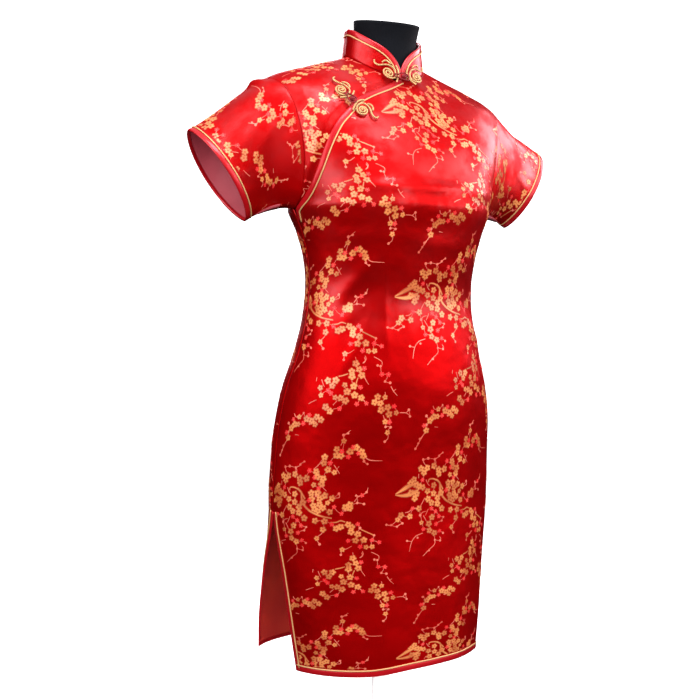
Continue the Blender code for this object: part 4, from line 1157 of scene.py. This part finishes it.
def layPattern(panel, cloth, place, keep, trimmed=None, shift=(0.0, 0.0), mirror=1, lean=0.0):
    made = []
    for part, material in threadOf.items():
        shape, flats = repeatsOn(cloth, tileMeshes[part], shift, mirror, lean)
        a, b, inside = cloth.placeOf(flats[:, 0], flats[:, 1])
        inside &= keep(a, b)
        spots = np.flatnonzero(inside)
        points = np.zeros((len(a), 3))
        points[spots] = place(a[spots], b[spots], flats[spots, 2])
        if trimmed:
            inside[spots] = trimmed(points[spots]) > repeat["clear"]
        layer = shape.loops.layers.uv.new("flat")
        for vertex, point in zip(shape.verts, points):
            vertex.co = point
        shape.verts.index_update()
        lost = []
        for face in shape.faces:
            if not all(inside[vertex.index] for vertex in face.verts):
                lost.append(face)
                continue
            for loop in face.loops:
                loop[layer].uv = flats[loop.vert.index, :2]
        bmesh.ops.delete(shape, geom=lost, context="FACES")
        if not shape.faces:
            shape.free()
            continue
        piece = finishMesh(panel + "_" + part, shape, [material], "brocade", smooth=False)
        wall(piece, repeat["relief"], even=False)
        made.append(piece)
    return made


def nearness(*lines):  # distance to the nearest trimmed edge
    points, step = [], 0.0007
    for line in lines:
        for start, end in zip(line, line[1:]):
            count = max(1, int(np.linalg.norm(end - start) / step))
            points.extend(start + (end - start) * share for share in np.arange(count) / count)
    tree = KDTree(len(points))
    for i, point in enumerate(points):
        tree.insert(point, i)
    tree.balance()
    return lambda places: np.array([tree.find(place)[2] for place in places])


sampleAcross = np.linspace(-1, 1, 401)
# how far the pattern reaches: across the body, below its top seams, and along and around the sleeves
limits = {"across": 0.99, "belowTop": 0.004, "fromSeam": 0.02, "toCuff": 0.905, "fromUnderarm": 0.005}


def below(tops):
    def inside(a, b):
        highest = np.interp(a, sampleAcross, tops) - limits["belowTop"]
        return (np.abs(a) < limits["across"]) & (b < highest)

    return inside


def onYoke(a, b):
    cut = np.interp(a, sampleAcross, flapLevel(sampleAcross))
    return (b > cut) & (a < 0) & below(neckLevel(front, sampleAcross))(a, b)


def onSleeveCloth(a, b):
    around = (a > limits["fromUnderarm"]) & (a < 1 - limits["fromUnderarm"])
    return (b > limits["fromSeam"]) & (b < limits["toCuff"]) & around


frontTrims = nearness(bodyFront(*hemLine(front).T), bodyFront(*flapLine.T))
backTrims = nearness(bodyBack(*hemLine(back).T))
underFront, underBack = below(frontTop(sampleAcross)), below(neckLevel(back, sampleAcross))
patterns = {
    "front": layPattern("front", frontCloth, bodyFront, underFront, frontTrims, lean=-0.11),
    "back": layPattern("back", backCloth, bodyBack, underBack, backTrims, (0.06, 0.11), mirror=-1),
    "yoke": layPattern("yoke", frontCloth, yokePoint, onYoke, shift=(0.188, 0.244)),
}
for name, shift in (("right", (0.048, -0.257)), ("left", (0.028, -0.370))):
    cloth, mirror = sleeveCloths[name], -cuffs[name][0]
    patterns[name] = layPattern(
        "sleeve_" + name, cloth, onSleeve(name), onSleeveCloth, shift=shift, mirror=mirror
    )
print("brocade pattern laid")


# frogs: roses of gold cord with a scroll, a leaf and a petal, in millimetres from each rose's middle
frog = {
    "cordRadius": 0.00125, "cordSides": 12, "dome": 0.0022, "domeWidth": 8.5, "reach": 0.0205,
    "turns": 2.0, "perTurn": 9, "start": 1.3, "pitch": 3.3, "endAngle": -60,
    "loopRadius": 0.0009, "loopSides": 10, "knotRadius": 0.0036, "knotCord": 0.00082, "knotIn": 0.0007,
    "knotSides": 8, "knotTurns": 6.5, "knotWobble": 0.16,
    "collarRise": 0.0025, "bridge": 0.006, "chestSlope": 1.35, "trimTop": 0.0022,
    "chestRight": (-0.1027, 0.7904), "chestLeft": (-0.0768, 0.7582),
}
scroll = [
    (8.9, -2.5), (10.0, 2.5), (9.0, 7.6), (5.4, 11.2), (0.5, 12.0), (-4.5, 10.8), (-9.0, 8.3), (-13.5, 6.3),
    (-17.6, 5.9), (-20.3, 7.6), (-20.4, 10.4),
]
leaf = [(11.5, 14.5), (13.8, 9.5), (14.2, 4.5), (13.0, -1.0), (10.9, -5.6), (8.6, -10.4)]
petal = [(3.0, 15.0), (-0.5, 17.0), (-4.8, 16.4), (-8.2, 13.0)]
loop = [
    (-13.0, 1.5), (-8.0, 2.6), (-3.9, 4.7), (1.3, 5.5), (5.1, 2.8), (5.7, -1.3), (3.0, -5.0), (-2.4, -5.3),
    (-8.0, -2.6), (-13.0, -1.5),
]


def roseLine():  # a coil that runs out into the scroll
    steps = int(frog["perTurn"] * frog["turns"])
    wound = frog["turns"] * np.arange(steps + 1) / steps
    angles = math.radians(frog["endAngle"]) - (frog["turns"] - wound) * 2 * math.pi
    radii = frog["start"] + frog["pitch"] * wound
    return list(zip(radii * np.cos(angles), radii * np.sin(angles))) + scroll


def collarSeat(right, up, out):  # from the collar's front, bridging the turn from collar to chest
    distance, height = np.mod(right, neckLength), up + frog["collarRise"]
    foot = collarPoint(distance, 0.0)
    outward = unit(foot - collarPoint(distance, 0.0, -1.0))
    run = frog["chestSlope"] * (np.hypot(height, frog["bridge"]) - height) / 2
    away = frog["trimTop"] + out + run - collar["lean"] * np.maximum(height, 0)
    return foot + outward * away[..., None] + np.stack([height * 0, height * 0, height], axis=-1)


def onFront(x, height, out=0.0):  # the front's point at this x and height, and its level
    x, height = numbers(x, height)
    above = lambda level: bodyPoint(front, acrossAt(front, x, level), level)[..., 2] - hemHeight - height
    level = solve(above, 0, seamLevel)
    return bodyPoint(front, acrossAt(front, x, level), level, out), level


(startSpot, _), (endSpot, _) = onFront(*frog["chestRight"]), onFront(*frog["chestLeft"])
middleSpot = (startSpot + endSpot) / 2
_, middleLevel = onFront(middleSpot[0], middleSpot[2] - hemHeight)
chestNormal = bodyNormal(front, acrossAt(front, middleSpot[0], middleLevel), middleLevel)
chestAlong = unit(endSpot - startSpot)
chestAside = unit(np.cross(chestNormal, chestAlong))


def chestSeat(right, up, out):
    spots = middleSpot + chestAlong * right[..., None] + chestAside * up[..., None]
    return onFront(spots[..., 0], spots[..., 2] - hemHeight, frog["trimTop"] + out)[0]


def knotBall(middle, outward):  # a ball wound from one cord
    aside = unit(np.cross(outward, (0.2, 0.1, 0.97)))
    share = np.linspace(0, 1, 150)
    spin = share * frog["knotTurns"] * 2 * math.pi
    tilt = np.pi * (0.06 + 0.88 * share) + frog["knotWobble"] * np.sin(spin * 0.5)
    line = middle + (frog["knotRadius"] - frog["knotIn"]) * (
        np.cos(tilt)[:, None] * outward
        + (np.sin(tilt) * np.cos(spin))[:, None] * aside
        + (np.sin(tilt) * np.sin(spin))[:, None] * np.cross(outward, aside)
    )
    return cordRings(line, frog["knotCord"], frog["knotSides"])


def makeFrog(name, seat):
    lift, knotLift = seamGap + frog["cordRadius"], 2 * seamGap + frog["knotRadius"]
    for half, side in (("right", 1), ("left", -1)):
        for part, path, perStep in (("rose", roseLine(), 4), ("leaf", leaf, 8), ("petal", petal, 8)):
            line = smoothLine(path, perStep) / 1000
            inwards = 1 - np.hypot(line[:, 0], line[:, 1]) * 1000 / frog["domeWidth"]
            height = lift + frog["dome"] * np.clip(inwards, 0, 1) * (part == "rose")
            spots = seat(side * (line[:, 0] - frog["reach"]), line[:, 1], height)
            node = name + "_" + part + "_" + half
            rings = cordRings(spots, frog["cordRadius"], frog["cordSides"])
            tube(node + "_cord", rings, goldCord, "gold_cord", node)
    line = smoothLine(loop, 8) / 1000
    spots = seat(line[:, 0], line[:, 1], np.full(len(line), knotLift))
    rings = cordRings(spots, frog["loopRadius"], frog["loopSides"])
    tube(name + "_loop_cord", rings, knotCord, "satin_binding", name + "_loop")
    middle, under = seat(np.zeros(2), np.zeros(2), np.array([knotLift, 0.0]))
    rings = knotBall(middle, unit(middle - under))
    tube(name + "_knot_ball", rings, knotCord, "satin_binding", name + "_knot")


makeFrog("collar_frog", collarSeat)
makeFrog("chest_frog", chestSeat)
print("frogs made")


# dress form, pole and base
form = {
    "columns": 72, "torsoRows": 34, "chestRows": 28, "neckRows": 30, "clearance": 0.0100, "bottom": 0.262,
    "topLevel": 1.93, "neckTilt": 11, "rim": 0.0016,
}
# height: the neck's middle and radius
neckTable = Table(
    (0.770, 0.000, 0.058), (0.820, -0.003, 0.0495), (0.850, -0.008, 0.0452), (0.880, -0.013, 0.0450),
    (0.906, -0.0185, 0.0475),
)
stand = {
    "poleRadius": 0.0125, "baseRadius": 0.165, "baseThickness": 0.014, "edge": 0.003, "flange": 0.026,
    "flangeHeight": 0.010, "slope": 0.004, "bevel": 0.0008, "steps": 96,
}


def torsoShape():
    torsoLevels = np.linspace(form["bottom"] / underarm, 1, form["torsoRows"])[:-1]
    rising = np.concatenate([torsoLevels, np.linspace(1, form["topLevel"], form["chestRows"])])
    acrosses = np.linspace(-1, 1, form["columns"] + 1) * (1 - sideTurn)
    halves = []
    for face, levels in ((front, rising), (back, rising[::-1])):
        a, b = np.broadcast_arrays(acrosses, levels[:, None])
        points = bodyPoint(face, a, b, -form["clearance"])
        halfWidth, _, side, _ = bodyTable(underarm * np.minimum(b, 1))
        atSide = (np.abs(a) > 1 - sideTurn - 1e-9) & (b <= 1)
        points[..., 0] = np.where(atSide, np.sign(a) * (halfWidth - form["clearance"]), points[..., 0])
        points[..., 1] = np.where(atSide, side, points[..., 1])
        points[..., 2] = np.where(b <= 1, hemHeight + underarm * b, points[..., 2])
        halves.append(points)
    shape = netOf(np.concatenate(halves), wrap=True)
    closeUp(shape, cut=True)
    return shape


def neckRings():  # up to a flat, tilted top with a rounded rim
    heights = np.linspace(neckTable.at[0], neckTable.at[-1], form["neckRows"])
    tilts = math.tan(math.radians(form["neckTilt"])) * np.linspace(0, 1, form["neckRows"]) ** 2
    rows = list(zip(heights, *neckTable(heights), tilts))
    top, middle, radius, tilt = rows[-1]
    rim = form["rim"]
    rows[-1] = (top - rim, middle, radius, tilt)
    rows += [(top - rim * 0.3, middle, radius - rim * 0.3, tilt), (top, middle, radius - rim, tilt)]
    rows += [(top, middle, radius * share, tilt) for share in (0.8, 0.5, 0.2)]
    turns = turnsOf(form["columns"])
    rings = []
    for height, middle, radius, tilt in rows:
        y = radius * np.sin(turns)
        rings.append(np.stack([radius * np.cos(turns), middle + y, hemHeight + height + y * tilt], axis=-1))
    return np.array(rings)


torso = torsoShape()
torso.from_mesh(meshOf("form_neck", tubeShape(neckRings())))
finishMesh("dress_form", torso, [formCloth], "form_cloth", "form")


def spun(name, node, profile):  # a profile from top to bottom turned about the stand's axis
    shape = bmesh.new()
    verts = [shape.verts.new((x, 0, z)) for x, z in profile]
    edges = [shape.edges.new(pair) for pair in zip(verts, verts[1:])]
    bmesh.ops.spin(
        shape, geom=verts + edges, axis=(0, 0, 1), cent=(0, 0, 0), angle=2 * math.pi,
        steps=stand["steps"], use_merge=True,
    )
    bmesh.ops.remove_doubles(shape, verts=shape.verts, dist=1e-6)
    bmesh.ops.recalc_face_normals(shape, faces=shape.faces)
    sharp = [edge for edge in shape.edges if edge.calc_face_angle(0) > 0.6]
    bmesh.ops.bevel(
        shape, geom=sharp, offset=stand["bevel"], offset_type="OFFSET", segments=3, profile=0.5,
        affect="EDGES", material=-1,
    )
    finishMesh(name, shape, [standPaint], "stand_paint", node)


thick, edge, baseRadius = stand["baseThickness"], stand["edge"], stand["baseRadius"]
spun("stand_base", "base", [
    (0, thick), (baseRadius - edge * 2, thick), (baseRadius - edge * 0.6, thick - edge * 0.6),
    (baseRadius, thick - edge * 2), (baseRadius, 0), (0, 0),
])
foot, top = thick + seamGap, hemHeight + form["bottom"] - seamGap
flangeTop = foot + stand["flangeHeight"]
spun("stand_pole", "pole", [
    (0, top), (stand["poleRadius"], top), (stand["poleRadius"], flangeTop + stand["slope"]),
    (stand["flange"], flangeTop), (stand["flange"], foot), (0, foot),
])
print("form and stand made")


# cloth sheets: flat size in metres, cut area in square metres where it isn't the flat size's, the
# pieces that are sewn to each, and what it rests on
onForm, onBodice = ["dress_form"], ["front_panel", "back_panel"]
right, left = (trims[name] + patterns[name] for name in ("right", "left"))
sheets = [
    (frontPanel, (0.46, 0.88), None, trims["front_hem"] + trims["flap"] + patterns["front"], onForm),
    (backPanel, (0.46, 0.90), None, trims["back_hem"] + patterns["back"], onForm),
    (yokePanel, (0.13, 0.20), None, patterns["yoke"], onForm),
    (sleevePanels["right"], (0.42, 0.16), 0.045, right, onBodice),
    (sleevePanels["left"], (0.42, 0.16), 0.042, left, onBodice),
    (collarPanel, (0.37, 0.041), None, trims["collar"], onBodice + ["yoke_panel"]),
]
for piece, flat, area, sewnOn, restsOn in sheets:
    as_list(restsOn)
    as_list(sewnOn)


# floor and studio
def stageMaterial(name, colour, glow):
    finish = {"Base Color": colour, "Roughness": 0.9, "Emission Color": (1, 1, 1), "Emission Strength": glow}
    return newMaterial(name, finish)[0]


shape = bmesh.new()
bmesh.ops.create_circle(shape, cap_ends=True, radius=9.0, segments=64)
floor = finishMesh("studio_floor", shape, [stageMaterial("pale floor", (0.9, 0.9, 0.9), 0.75)], smooth=False)
floor.location.z = -0.0005
shape = bmesh.new()
bmesh.ops.create_uvsphere(shape, u_segments=48, v_segments=24, radius=8.5)
bmesh.ops.reverse_faces(shape, faces=shape.faces)
dome = finishMesh("studio_backdrop", shape, [stageMaterial("white backdrop", (1, 1, 1), 1.3)])
for piece in (dome, floor):
    piece.visible_diffuse = piece.visible_glossy = piece.visible_shadow = piece.visible_transmission = False

world = bpy.data.worlds.new("studio")
bpy.context.scene.world = world
world.use_nodes = True
sky = world.node_tree.nodes["Background"].inputs
sky["Color"].default_value = (1, 0.98, 0.98, 1)
sky["Strength"].default_value = 0.48
world.cycles_visibility.glossy = False  # so that the satin takes its sheen from the lamps alone

# power, size, place, aim and colour of each softbox
softboxes = {
    "key": (52, (1.6, 1.0), (-0.2, -1.35, 3.0), (0, 0, 0.9), (1, 0.93, 1)),
    "ceiling": (45, (4.0, 4.0), (0, 0, 3.4), (0, 0.01, 0), (1, 0.93, 1)),
    "fill": (61, (3.2, 1.9), (1.6, -1.9, 1.65), (0, 0, 0.8), (1, 0.96, 1)),
    "side": (43, (2.2, 2.0), (-2.1, -0.6, 1.6), (0, 0, 0.8), (1, 0.93, 1)),
    "far": (34, (1.4, 1.4), (2.4, 0.2, 1.9), (0, 0, 0.85), (1, 0.93, 1)),
    "rear": (42, (1.6, 1.6), (0.6, 2.4, 1.8), (0, 0, 0.8), (1, 0.95, 1)),
    "front": (50, (2.0, 1.0), (-0.7, -1.6, 1.4), (0, 0, 0.85), (1, 1, 1)),
    "under": (26, (1.2, 1.2), (-1.3, -1.5, 0.2), (-0.2, 0, 0.85), (1, 0.9, 1)),
    "left": (42, (1.4, 1.4), (2.2, -1.0, 1.1), (0.2, 0, 0.85), (1, 0.93, 1)),
    "stand": (60, (1.0, 1.0), (-0.6, -1.8, 0.5), (0, 0, 0.1), (1, 1, 1)),
}
dullLamps = ("front", "under", "stand")  # these leave no gloss
lightOnly = {
    "under": ("sleeve_right_panel",), "left": ("sleeve_left_panel",), "stand": ("stand_pole", "stand_base"),
}
for name, (power, size, place, aim, colour) in softboxes.items():
    lamp = bpy.data.lights.new(name, "AREA")
    lamp.energy, lamp.shape, lamp.color = power, "RECTANGLE", colour
    lamp.size, lamp.size_y = size
    holder = bpy.data.objects.new(name, lamp)
    bpy.context.scene.collection.objects.link(holder)
    holder.visible_glossy = name not in dullLamps
    holder.location = place
    holder.rotation_euler = (Vector(aim) - Vector(place)).to_track_quat("-Z", "Y").to_euler()
    if name in lightOnly:
        group = bpy.data.collections.new(name)
        for lit in lightOnly[name]:
            group.objects.link(bpy.data.objects[lit])
        holder.light_linking.receiver_collection = group

# camera, before the wearer's right front, with its lens in pixels of the frame
view = {
    "yaw": 28.18, "distance": 1.881, "height": 0.418, "pitch": -0.67, "focus": 1308, "frame": 700,
    "shift": -30.4,
}
camera = bpy.data.cameras.new("camera")
camera.sensor_width = 36
camera.lens = camera.sensor_width * view["focus"] / view["frame"]
camera.shift_x = view["shift"] / view["frame"]
cameraObject = bpy.data.objects.new("camera", camera)
bpy.context.scene.collection.objects.link(cameraObject)
yaw, distance = math.radians(view["yaw"]), view["distance"]
cameraObject.location = (-math.sin(yaw) * distance, -math.cos(yaw) * distance, hemHeight + view["height"])
cameraObject.rotation_euler = Euler((math.pi / 2 - math.radians(view["pitch"]), 0, -yaw))
bpy.context.scene.camera = cameraObject
bpy.context.scene.view_settings.view_transform = "Standard"
print("studio and camera set")
